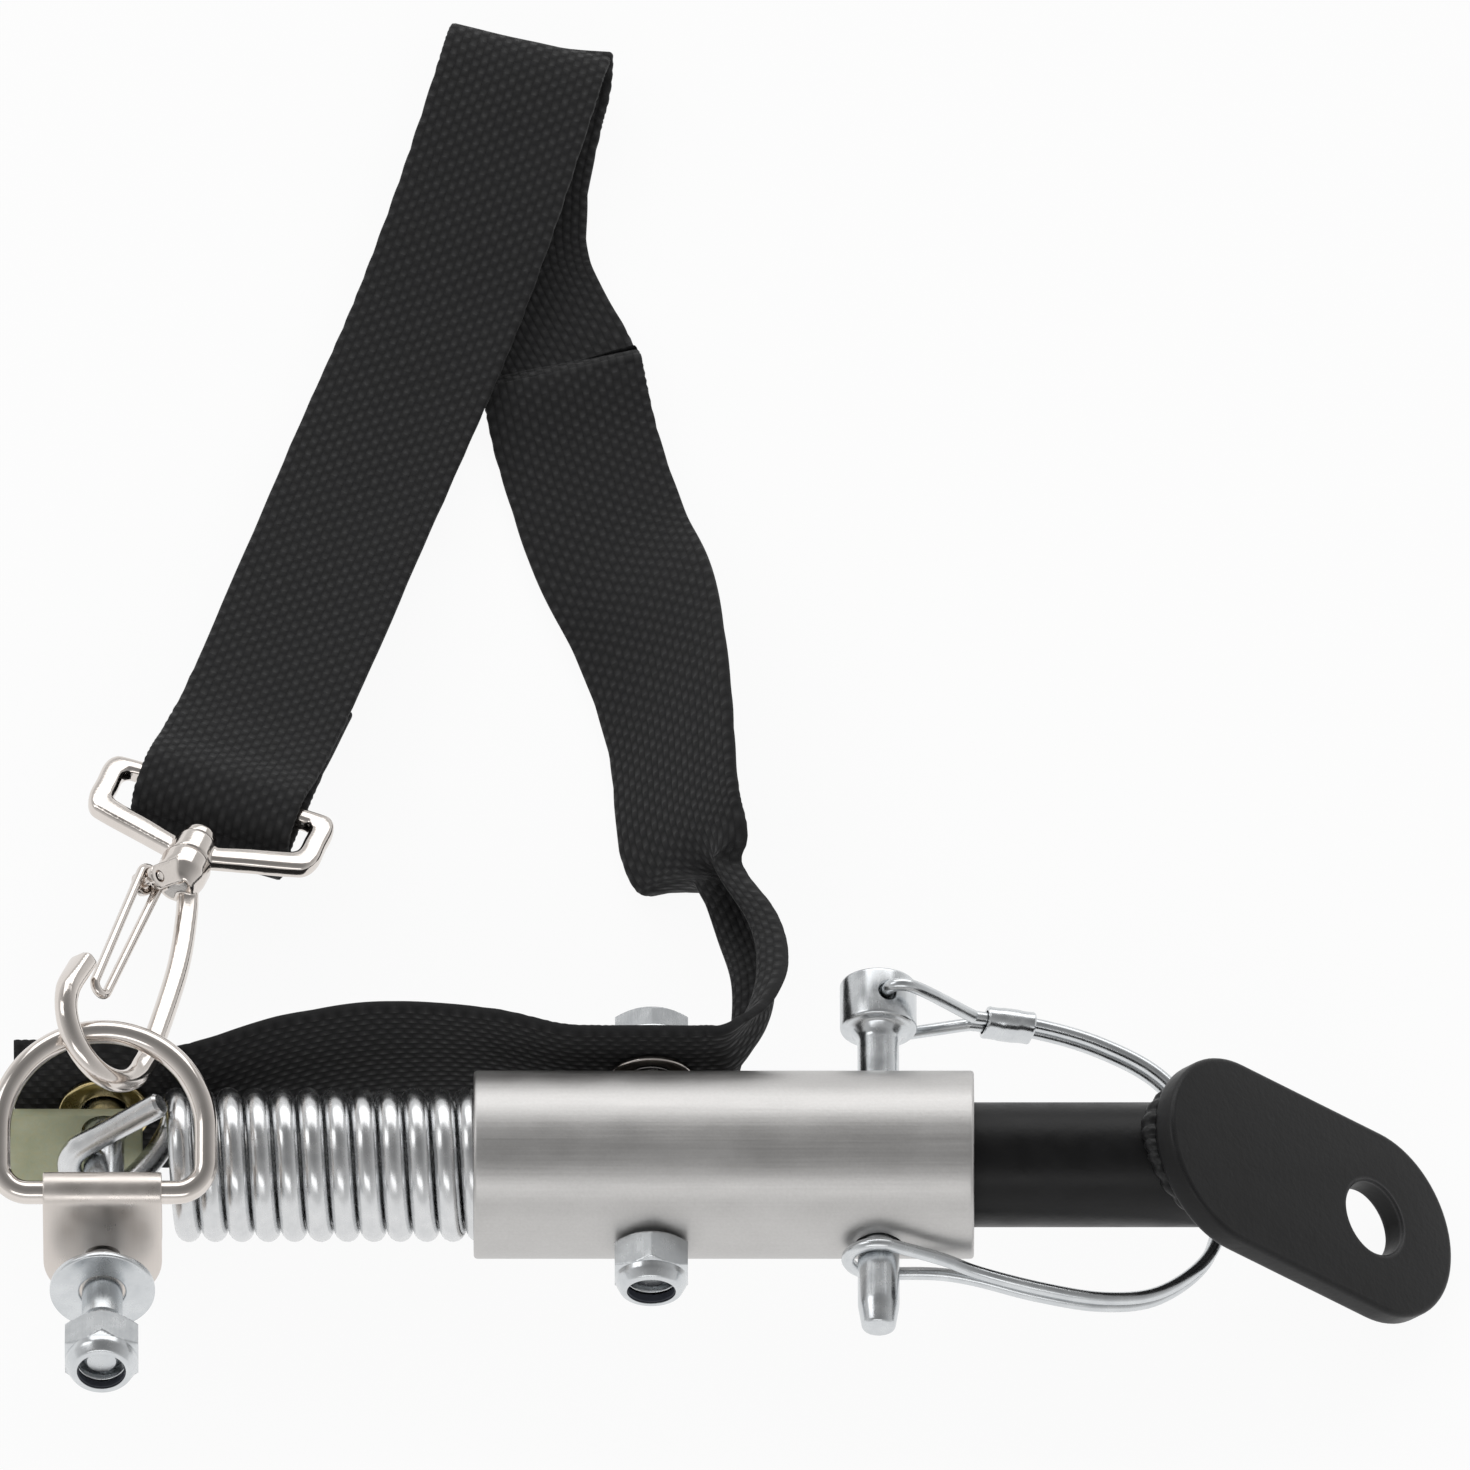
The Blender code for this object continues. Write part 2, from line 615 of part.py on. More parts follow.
# Spring: a close-wound coil with a hook eye round each bolt
def eye_points(tail):
    """From the coil's end at the back, under the bolt, round it and up past it, with x from the bolt."""
    start = Vector((EYE_REACH, COIL_RADIUS, 0))
    start_pull = Vector((-SPRING_PITCH / math.tau, 0, -COIL_RADIUS)).normalized() * 14
    end = Vector((1.2, 0, -EYE_RADIUS))
    end_pull = Vector((-10, 0, 0))
    points = []
    steps = 6
    for step in range(1, steps):
        t = step / steps
        points.append(
            start * (2 * t**3 - 3 * t**2 + 1)
            + start_pull * (t**3 - 2 * t**2 + t)
            + end * (3 * t**2 - 2 * t**3)
            + end_pull * (t**3 - t**2)
        )
    points.append(end)
    leave = math.pi / 2 + EYE_LEAN
    bend_steps = 8
    for step in range(bend_steps + 1):
        angle = 1.5 * math.pi + (leave - 1.5 * math.pi) * step / bend_steps
        points.append(Vector((math.cos(angle), 0, math.sin(angle))) * EYE_RADIUS)
    along = Vector((math.cos(EYE_LEAN), 0, math.sin(EYE_LEAN)))
    points.append(points[-1] + along * tail)
    return points


def least_gap(points, wire):
    """Least distance between stretches of the wire that are over half a curl apart, less the wire."""
    apart = POINTS_PER_CURL // 2 + 2
    least = min(
        (points[a] - points[b]).length
        for a in range(len(points))
        for b in range(a + apart, len(points))
    )
    return least - wire


def make_spring():
    left_x = TOW_BOLT_X + EYE_REACH
    right_x = SLEEVE_BOLT_X - EYE_REACH
    turns = round((right_x - left_x) / SPRING_PITCH - 0.5) + 0.5
    first = math.pi + TOW_ROLL
    sweep = turns * math.tau - TOW_ROLL
    count = round(sweep / math.tau * POINTS_PER_CURL)
    coil = []
    for step in range(count + 1):
        part = step / count
        angle = first + sweep * part
        x = left_x + (right_x - left_x) * part
        coil.append(Vector((x, -COIL_RADIUS * math.cos(angle), -COIL_RADIUS * math.sin(angle))))
    roll = Matrix.Rotation(TOW_ROLL, 3, "X")
    tow_eye = [Vector((TOW_BOLT_X, 0, 0)) + roll @ p for p in eye_points(TOW_EYE_TAIL)]
    half_turn = Matrix.Rotation(math.pi, 3, "Z")
    sleeve_eye = [Vector((SLEEVE_BOLT_X, 0, 0)) + half_turn @ p for p in eye_points(SLEEVE_EYE_TAIL)]
    points = [*reversed(tow_eye), *coil, *sleeve_eye]
    tube("spring", points, SPRING_WIRE / 2, ZINC, coupler, resolution=1)
    print(f"spring: {turns} curls, least gap to itself {least_gap(points, SPRING_WIRE):.2f} mm")


# Tab, D-ring clip and D-ring on the tow bolt
def make_tow_end():
    width, height, thick = TAB_SIZE
    off_x, off_z = TAB_OFFSET
    outline = [
        (off_x + sx * width / 2, -off_z + sz * height / 2)
        for sx, sz in ((-1, -1), (1, -1), (1, 1), (-1, 1))
    ]
    turn_up = to_front @ Matrix.Rotation(math.pi, 4, "X")
    tab = prism("olive_tab", outline, TAB_BACK, TAB_BACK + thick, TAB_GREEN, tow_axis, turn_up)
    drill(tab, BOLT_HOLE, TAB_BACK - GAP, TAB_BACK + thick + GAP, tow_axis, turn_up)

    fold = RING_WIRE / 2 + GAP + CLIP_THICKNESS / 2
    round_end = CLIP_WIDTH / 2
    levels = [-0.97, -0.9, -0.75, -0.5, -0.25, 0.0]
    leaf = [(level * round_end, round_end * math.sqrt(1 - level**2)) for level in levels]
    leaf.append((CLIP_BAR_RISE * 0.6, round_end))
    path = [(-fold, rise, half) for rise, half in leaf]
    fold_steps = 10
    for step in range(fold_steps + 1):
        angle = math.pi * (1 - step / fold_steps)
        path.append((fold * math.cos(angle), CLIP_BAR_RISE + fold * math.sin(angle), round_end))
    path += [(fold, rise, half) for rise, half in reversed(leaf)]
    stations = [(Vector((0, y - CLIP_FRONT, z)), Vector((1, 0, 0)), half) for y, z, half in path]
    clip = ribbon("ring_clip", stations, CLIP_THICKNESS, NICKEL, tow_axis)
    reach = fold + CLIP_THICKNESS
    drill(clip, BOLT_HOLE, CLIP_FRONT - reach, CLIP_FRONT + reach, tow_axis, to_front)

    ring_axis = axis_empty(
        "ring_axis", tow_axis, place(0, -CLIP_FRONT, CLIP_BAR_RISE, -RING_LEAN)
    )
    half = (RING_WIDTH - RING_WIRE) / 2
    crown = RING_HEIGHT - RING_WIRE - half
    points = []
    for start, centre, radius, steps in (
        (-90, (half - RING_CORNER, RING_CORNER), RING_CORNER, 5),
        (0, (0, crown), half, 20),
        (180, (RING_CORNER - half, RING_CORNER), RING_CORNER, 5),
    ):
        span = 180 if steps > 5 else 90
        for step in range(steps + 1):
            angle = math.radians(start + span * step / steps)
            points.append(
                (centre[0] + radius * math.cos(angle), 0, centre[1] + radius * math.sin(angle))
            )
    tube("d_ring", points, RING_WIRE / 2, NICKEL, ring_axis, cyclic=True)
    top = Vector((0, 0, crown + half)) * MM
    return ring_axis, top


# Snap hook
def both_sides(right):
    """An outline from its right half, mirrored at x = 0."""
    return right + [(-x, y) for x, y in reversed(right)]


def strap_frame(snap_axis):
    """Flat cast frame: two arms that taper from the hub, and a bar that the strap goes round."""
    half = FRAME_WIDTH / 2
    top = FRAME_DEPTH + FRAME_BAR / 2
    corner = FRAME_CORNER
    outer = [
        (2.6, 1.3),
        (half - corner, FRAME_ARM - 2.4),
        (half - 0.3 * corner, FRAME_ARM - 1.4),
        (half, FRAME_ARM + 0.4 * corner),
        (half, top - 0.8 * corner),
        (half - 0.25 * corner, top - 0.2 * corner),
        (half - 0.8 * corner, top),
    ]
    inside = half - FRAME_SIDE
    low_bar = top - FRAME_BAR
    inner = [
        (2.6, 4.9),
        (inside - 0.6 * corner, FRAME_ARM + 1.0),
        (inside - 0.1 * corner, FRAME_ARM + 1.8),
        (inside, FRAME_ARM + 2.8),
        (inside, low_bar - 0.3 * corner),
        (inside - 0.3 * corner, low_bar),
    ]
    frame = prism(
        "strap_frame",
        both_sides(outer),
        -FRAME_THICKNESS / 2,
        FRAME_THICKNESS / 2,
        NICKEL,
        snap_axis,
    )
    window = prism(
        "strap_window",
        both_sides(inner),
        -FRAME_THICKNESS,
        FRAME_THICKNESS,
        None,
        snap_axis,
    )
    combine(frame, window)
    edge = frame.modifiers.new("rounded_edge", "BEVEL")
    edge.width = FRAME_EDGE * MM
    edge.segments = 2
    edge.limit_method = "ANGLE"
    edge.angle_limit = math.radians(60)
    return frame


def make_snap_hook(ring_axis, ring_top):
    """Swivel snap hook that runs from its strap frame to the top of the D-ring."""
    bpy.context.view_layer.update()
    ring_point = coupler.matrix_world.inverted() @ ring_axis.matrix_world @ ring_top / MM
    place_of_swivel = Vector((TOW_BOLT_X, 0, 0)) + Vector(SWIVEL_FROM_TOW_BOLT)
    to_strap = (place_of_swivel - ring_point).normalized()
    reach = (place_of_swivel - ring_point).length
    across = to_strap.cross(Vector((0, 0, 1))).normalized()
    up = across.cross(to_strap)
    turn = Matrix((across, to_strap, up)).transposed().to_4x4()
    snap_axis = axis_empty("snap_axis", coupler, Matrix.Translation(place_of_swivel * MM) @ turn)
    swivel = axis_empty("swivel_axis", snap_axis, Matrix.Rotation(HOOK_ROLL, 4, "Y"))
    back = Matrix.Rotation(math.radians(-90), 4, "X")

    # Strap frame with the hub that turns on the rivet
    frame = strap_frame(snap_axis)
    hub_low = 1.0
    hub_rows = [(HUB_DIAMETER / 2, hub_low), (HUB_DIAMETER / 2, hub_low + HUB_LENGTH)]
    hub = turned("strap_frame_hub", hub_rows, NICKEL, snap_axis, back)
    combine(frame, hub, "UNION")
    rivet_hole = RIVET_DIAMETER / 2 + BOLT_CLEARANCE
    drill(frame, rivet_hole, hub_low - GAP, hub_low + HUB_LENGTH + GAP, snap_axis, back)

    # Hook body: collar, one wire down the back, round the bend and up into the bill, and two gate ears
    bend_y = -reach - HOOK_PAST_RING
    radius = HOOK_WIDTH / 2
    keys = [(2.0, -3.0, 0), (4.2, -8.0, 0), (7.0, -18.0, 0), (radius, bend_y + 5.0, 0)]
    bend_steps = 12
    for step in range(bend_steps + 1):
        angle = -math.pi * step / bend_steps
        keys.append((radius * math.cos(angle), bend_y + radius * math.sin(angle), 0))
    keys.append((-radius + 0.4, bend_y + HOOK_BILL, 0))
    body = as_mesh(tube("hook_body", smooth(keys, 2), HOOK_WIRE / 2, NICKEL, swivel))
    collar_top = hub_low - 0.5
    collar_rows = [
        (COLLAR_DIAMETER / 2 - 0.8, collar_top - COLLAR_LENGTH),
        (COLLAR_DIAMETER / 2, collar_top - COLLAR_LENGTH + 0.8),
        (COLLAR_DIAMETER / 2, collar_top - 0.5),
        (COLLAR_DIAMETER / 2 - 0.5, collar_top),
    ]
    collar = turned("hook_collar", collar_rows, NICKEL, swivel, back)
    combine(body, collar, "UNION")
    pivot = Vector((*GATE_PIVOT, 0))
    ear_root = Vector((-1.6, -3.6, 0))
    lean = math.atan2(pivot.y - ear_root.y, pivot.x - ear_root.x)
    middle = (pivot + ear_root) / 2
    ear_outline = obround((pivot - ear_root).length / 2, 1.9, steps=8)
    inside = GATE_WIRE / 2 + GAP
    for side, low in (("upper", inside), ("lower", -inside - EAR_THICKNESS)):
        on_hook = place(*middle, lean, "Z")
        ear = prism(f"{side}_ear", ear_outline, low, low + EAR_THICKNESS, NICKEL, swivel, on_hook)
        combine(body, ear, "UNION")
    drill(body, rivet_hole, collar_top - 4.0, collar_top + GAP, swivel, back)
    at_pivot = place(*pivot)
    ear_reach = inside + EAR_THICKNESS + GAP
    drill(body, GATE_PIN_DIAMETER / 2 + GAP, -ear_reach, ear_reach, swivel, at_pivot)

    rivet_rows = [
        (RIVET_DIAMETER / 2, collar_top - 3.6),
        (RIVET_DIAMETER / 2, hub_low + HUB_LENGTH + GAP),
        (RIVET_KNOB_DIAMETER / 2, hub_low + HUB_LENGTH + GAP),
        (RIVET_KNOB_DIAMETER / 2, hub_low + HUB_LENGTH + GAP + 0.9),
        (RIVET_KNOB_DIAMETER / 2 - 0.9, hub_low + HUB_LENGTH + GAP + RIVET_KNOB_LENGTH),
    ]
    turned("swivel_rivet", rivet_rows, NICKEL, swivel, back)

    pin_rows = [(GATE_PIN_DIAMETER / 2, -ear_reach), (GATE_PIN_DIAMETER / 2, ear_reach)]
    turned("gate_pin", pin_rows, NICKEL, swivel, at_pivot, sides=12)

    wide, narrow = GATE_HALF_WIDTHS
    gate = []
    for centre, half_width, start in (((0, 0), wide, 0), ((GATE_LEAN, -GATE_LENGTH), narrow, 180)):
        for step in range(9):
            angle = math.radians(start + 180 * step / 8)
            gate.append(
                (centre[0] + half_width * math.cos(angle), centre[1] + half_width * math.sin(angle), 0)
            )
    tube("snap_gate", gate, GATE_WIRE / 2, NICKEL, swivel, at_pivot, cyclic=True)
    return snap_axis, swivel, pivot


# Safety strap
def make_strap(snap_axis):
    """One length of webbing: bolted at both bolts, laid on the table and folded back to the hook."""
    roll = Matrix.Rotation(TOW_ROLL, 3, "X")
    upright = Vector((0, 0, 1))
    tow_up = roll @ upright
    keys = []

    def key(point, across):
        keys.append((*point, *Vector(across).normalized()))

    for off, back in ((-STRAP_END_PAST_BOLT, 0), (-8.0, 0), (0, 0), (8.5, 0), (14.0, 0.7)):
        spot = roll @ Vector((0, TOW_STRAP_BACK + back, TOW_STRAP_RAISE))
        key(Vector((TOW_BOLT_X + off, 0, 0)) + spot, tow_up)
    leave = Vector(keys[-1][:3])
    arrive = Vector((SLEEVE_BOLT_X - 14.0, SLEEVE_STRAP_BACK + 0.4, 0))
    for share in (0.25, 0.52, 0.8):
        bow = Vector((0, 4 * share * (1 - share) * STRAP_SLACK, 0))
        key(leave.lerp(arrive, share) + bow, tow_up.lerp(upright, share))
    key(arrive, upright)
    for off, back in ((-8.0, 0), (0, 0), (8.0, 0), (12.0, 0.9)):
        key((SLEEVE_BOLT_X + off, SLEEVE_STRAP_BACK + back, 0), upright)

    # Twisted off the sleeve bolt: (x and y from the bolt's hole in the strap, z, heading of its edge)
    for x, y, z, edge in (
        (14.8, 7.3, -1.5, (0.25, -0.15, 1)),
        (15.1, 16.3, -5.0, (0.5, -0.1, 0.85)),
        (13.1, 26.8, -9.5, (0.62, 0.05, 0.78)),
    ):
        key((SLEEVE_BOLT_X + x, SLEEVE_STRAP_BACK + y, z), edge)

    # Laid on the table: (x and y from the same hole, height, heading of the strap's edge, its rise)
    thick = STRAP_THICKNESS
    flat = 0.75 * thick
    for x, y, height, edge, rise in (
        (8.1, 37.8, 10.6, 0.25, 1.1),
        (4.1, 51.3, 10.2, 0.15, 1.1),
        (2.5, 70.3, 9.8, 0.15, 1.0),
        (-1.2, 88.3, 7.4, 0.25, 0.62),
        (-6.6, 103.3, 3.6, 0.3, 0.22),
        (-12.1, 120.3, flat, 0.25, 0.0),
        (-14.9, 135.3, flat, 0.25, 0.0),
        (-20.5, 151.3, flat, 0.2, 0.0),
        (-22.5, 166.3, flat, 0.0, 0.0),
        (-20.3, 180.3, flat, -0.15, 0.0),
        (-18.9, 186.5, 1.9, -0.17, 0.0),
        (-18.7, 189.9, 5.2, -0.2, 0.0),
        (-19.5, 186.7, 8.6, -0.24, 0.0),
        (-21.9, 177.3, 9.4, -0.3, 0.0),
        (-27.5, 158.3, 7.6, -0.34, 0.0),
        (-34.2, 138.3, 5.8, -0.36, 0.0),
        (-42.9, 114.3, 6.6, -0.36, 0.0),
    ):
        x += SLEEVE_BOLT_X
        key((x, SLEEVE_STRAP_BACK + y, floor_at(x, height)), (1, edge, rise + FLOOR_SLOPE))

    # Sewn eye round the strap frame, in the snap hook's own frame: (y, z)
    bpy.context.view_layer.update()
    to_coupler = coupler.matrix_world.inverted() @ snap_axis.matrix_world
    across = to_coupler.to_3x3() @ Vector((1, 0, 0))
    over_bar = FRAME_THICKNESS / 2 + GAP + thick / 2
    ply = thick / 2 + GAP / 2 + 0.1
    under_knob = -RIVET_KNOB_DIAMETER / 2 - GAP - thick / 2 - 0.2
    for y, z in (
        (44.0, ply),
        (28.0, ply),
        (FRAME_DEPTH + 4.0, over_bar - 0.1),
        (FRAME_DEPTH, over_bar + 0.1),
        (FRAME_DEPTH - 4.2, 0.6),
        (FRAME_ARM + 2.6, under_knob + 0.3),
        (FRAME_ARM, under_knob),
        (FRAME_ARM - 1.6, under_knob - 1.5),
        (FRAME_ARM, under_knob - 3.0),
        (FRAME_ARM + 2.6, under_knob - 2.9),
        (FRAME_DEPTH - 2.0, -over_bar - 1.2),
        (FRAME_DEPTH + 3.0, -over_bar),
        (28.0, -ply),
        (44.0, -ply),
    ):
        key(to_coupler @ Vector((0, y * MM, z * MM)) / MM, across)

    stations = [(p[:3], p[3:], STRAP_WIDTH / 2) for p in map(tuple, smooth(keys, 4))]
    stations = [(Vector(p), Vector(a), half) for p, a, half in stations]
    strap = ribbon("safety_strap", stations, STRAP_THICKNESS, WEBBING, coupler)
    length = sum((a[0] - b[0]).length for a, b in zip(stations, stations[1:]))
    hole = BOLT_HOLE + EYELET_BARREL + GAP
    for back, parent, matrix in (
        (SLEEVE_STRAP_BACK, coupler, place(SLEEVE_BOLT_X, 0, 0) @ to_front),
        (TOW_STRAP_BACK, tow_axis, to_front),
    ):
        drill(strap, hole, -back - thick, -back + thick, parent, matrix)
    print(f"strap: {length:.0f} mm of {STRAP_WIDTH:.0f} mm webbing")


def settle():
    """Moves the coupler so that its box stands centred on the origin with its lowest point at zero."""
    bpy.context.view_layer.update()
    graph = bpy.context.evaluated_depsgraph_get()
    corners = []
    for shown in bpy.context.scene.objects:
        if shown.type == "EMPTY" or shown.hide_render:
            continue
        mesh = shown.evaluated_get(graph).to_mesh()
        corners += [shown.matrix_world @ v.co for v in mesh.vertices]
        shown.evaluated_get(graph).to_mesh_clear()
    low = Vector(min(c[i] for c in corners) for i in range(3))
    high = Vector(max(c[i] for c in corners) for i in range(3))
    coupler.location -= Vector(((low.x + high.x) / 2, (low.y + high.y) / 2, low.z))
    bpy.context.view_layer.update()
    print("box in mm:", [round(c / MM, 1) for c in high - low])


def report_place(name, empty, point=(0, 0, 0), direction=(0, 0, 1)):
    world = empty.matrix_world
    spot = world @ (Vector(point) * MM)
    axis = world.to_3x3() @ Vector(direction)
    print(name, [round(c, 6) for c in spot], [round(c, 5) for c in axis.normalized()])


make_sleeve()
plate_frame, hole_frame = make_hitch()
make_fasteners()
make_lock_pin()
make_spring()
d_ring_axis, d_ring_top = make_tow_end()
snap, swivel_axis, gate_pivot = make_snap_hook(d_ring_axis, d_ring_top)
make_strap(snap)
settle()

report_place("flex pivot, axis", coupler, (FLEX_PIVOT_X, 0, 0), (0, 1, 0))
report_place("lock pin, axis", lock_axis, (0, 0, 0), (0, 1, 0))
report_place("ring bar, axis", d_ring_axis, (0, 0, 0), (1, 0, 0))
report_place("swivel, axis", snap, (0, 0, 0), (0, 1, 0))
report_place("gate pivot, axis", swivel_axis, gate_pivot, (0, 0, 1))
hole_centre = hole_frame.to_translation() / MM
beside_hole = hole_centre - PLATE_ALONG * CENTIMETRE
report_place("axle hole centre, plate normal", coupler, hole_centre, PLATE_NORMAL)
beside_hole += PLATE_NORMAL * PLATE_THICKNESS
report_place("face beside the hole, normal", coupler, beside_hole, PLATE_NORMAL)
report_place("washer face", tow_axis, (0, -TOW_WASHER_FRONT - WASHER_THICKNESS, 5.5), (0, -1, 0))
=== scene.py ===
# %% [markdown]
# # A bicycle trailer coupler with a wire lock pin
#
# A coil spring sits in an aluminium sleeve, so that the trailer can lean and turn behind the
# bicycle. A black hitch tube slides into the other end of the sleeve, and a pin with a sprung wire
# bow locks it there. A webbing strap with a snap hook is the safety line. This lesson takes the
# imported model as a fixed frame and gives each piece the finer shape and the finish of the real
# one. Sizes are in millimetres, and a factor turns them into metres at the end.

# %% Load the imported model
import json
import math

import bmesh
import bpy
from mathutils import Matrix, Quaternion, Vector, noise

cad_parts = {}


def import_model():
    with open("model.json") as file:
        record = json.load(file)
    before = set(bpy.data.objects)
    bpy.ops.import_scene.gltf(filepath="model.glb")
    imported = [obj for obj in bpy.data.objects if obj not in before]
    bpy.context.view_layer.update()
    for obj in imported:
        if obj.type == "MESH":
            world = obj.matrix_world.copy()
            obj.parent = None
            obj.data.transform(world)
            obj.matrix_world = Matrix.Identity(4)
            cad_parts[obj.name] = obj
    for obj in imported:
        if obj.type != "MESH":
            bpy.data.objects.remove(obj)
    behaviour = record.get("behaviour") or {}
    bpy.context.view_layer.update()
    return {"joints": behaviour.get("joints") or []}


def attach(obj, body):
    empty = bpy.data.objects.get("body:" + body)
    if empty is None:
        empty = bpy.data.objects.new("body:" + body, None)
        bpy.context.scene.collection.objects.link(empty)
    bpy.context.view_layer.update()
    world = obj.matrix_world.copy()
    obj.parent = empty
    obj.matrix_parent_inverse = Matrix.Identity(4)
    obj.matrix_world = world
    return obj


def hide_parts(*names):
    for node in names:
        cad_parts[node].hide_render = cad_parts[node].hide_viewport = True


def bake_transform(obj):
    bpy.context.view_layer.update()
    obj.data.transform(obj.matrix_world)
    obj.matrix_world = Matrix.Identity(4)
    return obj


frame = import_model()
MM = 0.001

# %% [markdown]
# ## The coupler's own axes
#
# The coupler leans a little on the table, so world axes are awkward. The joints tell where it
# lies: the lock pin's joint is the origin, the line from the spring's bend to the pin is X, and
# both joints turn about Y, which points away from the viewer. All places below are written in
# these axes.

# %% Coupler axes and helpers for places
joints = {joint["name"]: joint for joint in frame["joints"]}
pin_at = Vector(joints["lock_bow_swing"]["pos_m"])
along = (pin_at - Vector(joints["spring_flex"]["pos_m"])).normalized()
back = Vector((0, 1, 0))
up = along.cross(back)
COUPLER = Matrix.Translation(pin_at) @ Matrix((along, back, up)).transposed().to_4x4()
HERE = Matrix()


def shift(x, y, z):
    return Matrix.Translation((x, y, z))


def turn(degrees, axis):
    return Matrix.Rotation(math.radians(degrees), 4, axis)


def world(place, point):
    """Where a point of a piece's own frame, in millimetres, lies in the world, in metres."""
    return COUPLER @ (place @ Vector(point) * MM)


TO_FRONT = turn(90, "X")
TO_BACK = turn(-90, "X")
ALONG_X = turn(90, "Y")
print("lean in degrees:", round(math.degrees(math.asin(along.z)), 2))

# %% [markdown]
# ## Camera first
#
# The photograph looks down at about 60 degrees along the coupler's back, from far off, with the
# sleeve level in the picture. A very long lens from eight metres gives that flat perspective. A
# millimetre is 6.55 pixels wide.

# %% Camera
PHOTO_SIZE = 1470
PIXELS_PER_MM = 6.55
VIEW_DOWN = math.radians(60)
CAMERA_AWAY = 8.0
SENSOR = 36.0
AIM = (-21.8, 75.4, 0)
look = back * math.cos(VIEW_DOWN) - up * math.sin(VIEW_DOWN)
camera_up = along.cross(look)
frame_width = PHOTO_SIZE / PIXELS_PER_MM * MM
camera_data = bpy.data.cameras.new("camera")
camera_data.sensor_width = SENSOR
camera_data.lens = SENSOR * CAMERA_AWAY / frame_width
camera = bpy.data.objects.new("camera", camera_data)
bpy.context.scene.collection.objects.link(camera)
camera_turn = Matrix((along, camera_up, -look)).transposed()
camera.matrix_world = Matrix.Translation(world(HERE, AIM) - look * CAMERA_AWAY) @ camera_turn.to_4x4()
bpy.context.scene.camera = camera
print("lens:", round(camera_data.lens), "mm")

# %% [markdown]
# ## Tools for meshes
#
# Nearly every piece here was turned on a lathe, bent from wire, cast or stamped. So four small
# tools do the work: a lathe for turned pieces, a loft for wire and castings, a Boolean cut for
# holes, and a voxel remesh that melts several solids into one casting with soft inner corners.


# %% Mesh tools
def skin(rows, sides, closed):
    """Quads over rows of points, with flat ends unless the rows close on themselves."""
    faces = []
    for row in range(rows if closed else rows - 1):
        low = row * sides
        high = (row + 1) % rows * sides
        for side in range(sides):
            after = (side + 1) % sides
            faces.append((low + side, low + after, high + after, high + side))
    if not closed:
        faces.append(tuple(range(sides)))
        faces.append(tuple(range((rows - 1) * sides, rows * sides)))
    return faces


def solid(name, points, faces, place, local=None):
    """A mesh with its faces outwards. local keeps pattern coordinates for each point."""
    mesh = bpy.data.meshes.new(name)
    mesh.from_pydata([world(place, p) for p in points], [], faces)
    shape = bmesh.new()
    shape.from_mesh(mesh)
    bmesh.ops.recalc_face_normals(shape, faces=shape.faces)
    shape.to_mesh(mesh)
    shape.free()
    if local:
        pattern = mesh.attributes.new("local", "FLOAT_VECTOR", "POINT")
        pattern.data.foreach_set("vector", [c for p in local for c in p])
    made = bpy.data.objects.new(name, mesh)
    bpy.context.scene.collection.objects.link(made)
    return made


def lathe(name, rows, place, sides=64, ring=False):
    """A turned piece about its own Z. A row is (radius, z), and a radius may change with the angle."""
    points = []
    for radius, z in rows:
        for side in range(sides):
            angle = math.tau * side / sides
            reach = radius(angle) if callable(radius) else radius
            points.append((reach * math.cos(angle), reach * math.sin(angle), z))
    return solid(name, points, skin(len(rows), sides, ring), place)


def rounded(profile, radius, closed=False, steps=4):
    """A profile whose corners are eased into small curves."""
    eased = []
    last = len(profile) - 1
    for index, corner in enumerate(profile):
        if not closed and index in (0, last):
            eased.append(corner)
            continue
        middle = Vector(corner)
        before = Vector(profile[index - 1]) - middle
        after = Vector(profile[(index + 1) % len(profile)]) - middle
        reach = min(radius, 0.45 * before.length, 0.45 * after.length)
        start = middle + before.normalized() * reach
        end = middle + after.normalized() * reach
        for step in range(steps + 1):
            t = step / steps
            eased.append(tuple(start.lerp(middle, t).lerp(middle.lerp(end, t), t)))
    return eased


def loft(name, stations, place, sides=16, closed=False):
    """A skin over sections: a station is (centre, across, up, half width, half height, squareness)."""
    points = []
    local = []
    walked = 0.0
    for index, station in enumerate(stations):
        centre, across, lift, wide, high, square = station
        if index:
            walked += (centre - stations[index - 1][0]).length
        for side in range(sides):
            angle = math.tau * side / sides
            c = math.cos(angle)
            s = math.sin(angle)
            u = math.copysign(abs(c) ** (2 / square), c) * wide
            v = math.copysign(abs(s) ** (2 / square), s) * high
            points.append(centre + across * u + lift * v)
            local.append((u, v, walked))
    return solid(name, points, skin(len(stations), sides, closed), place, local)


def headings(path, closed):
    count = len(path)
    found = []
    for index in range(count):
        before = path[index - 1] if closed or index else path[0]
        after = path[(index + 1) % count] if closed or index + 1 < count else path[-1]
        found.append((after - before).normalized())
    return found


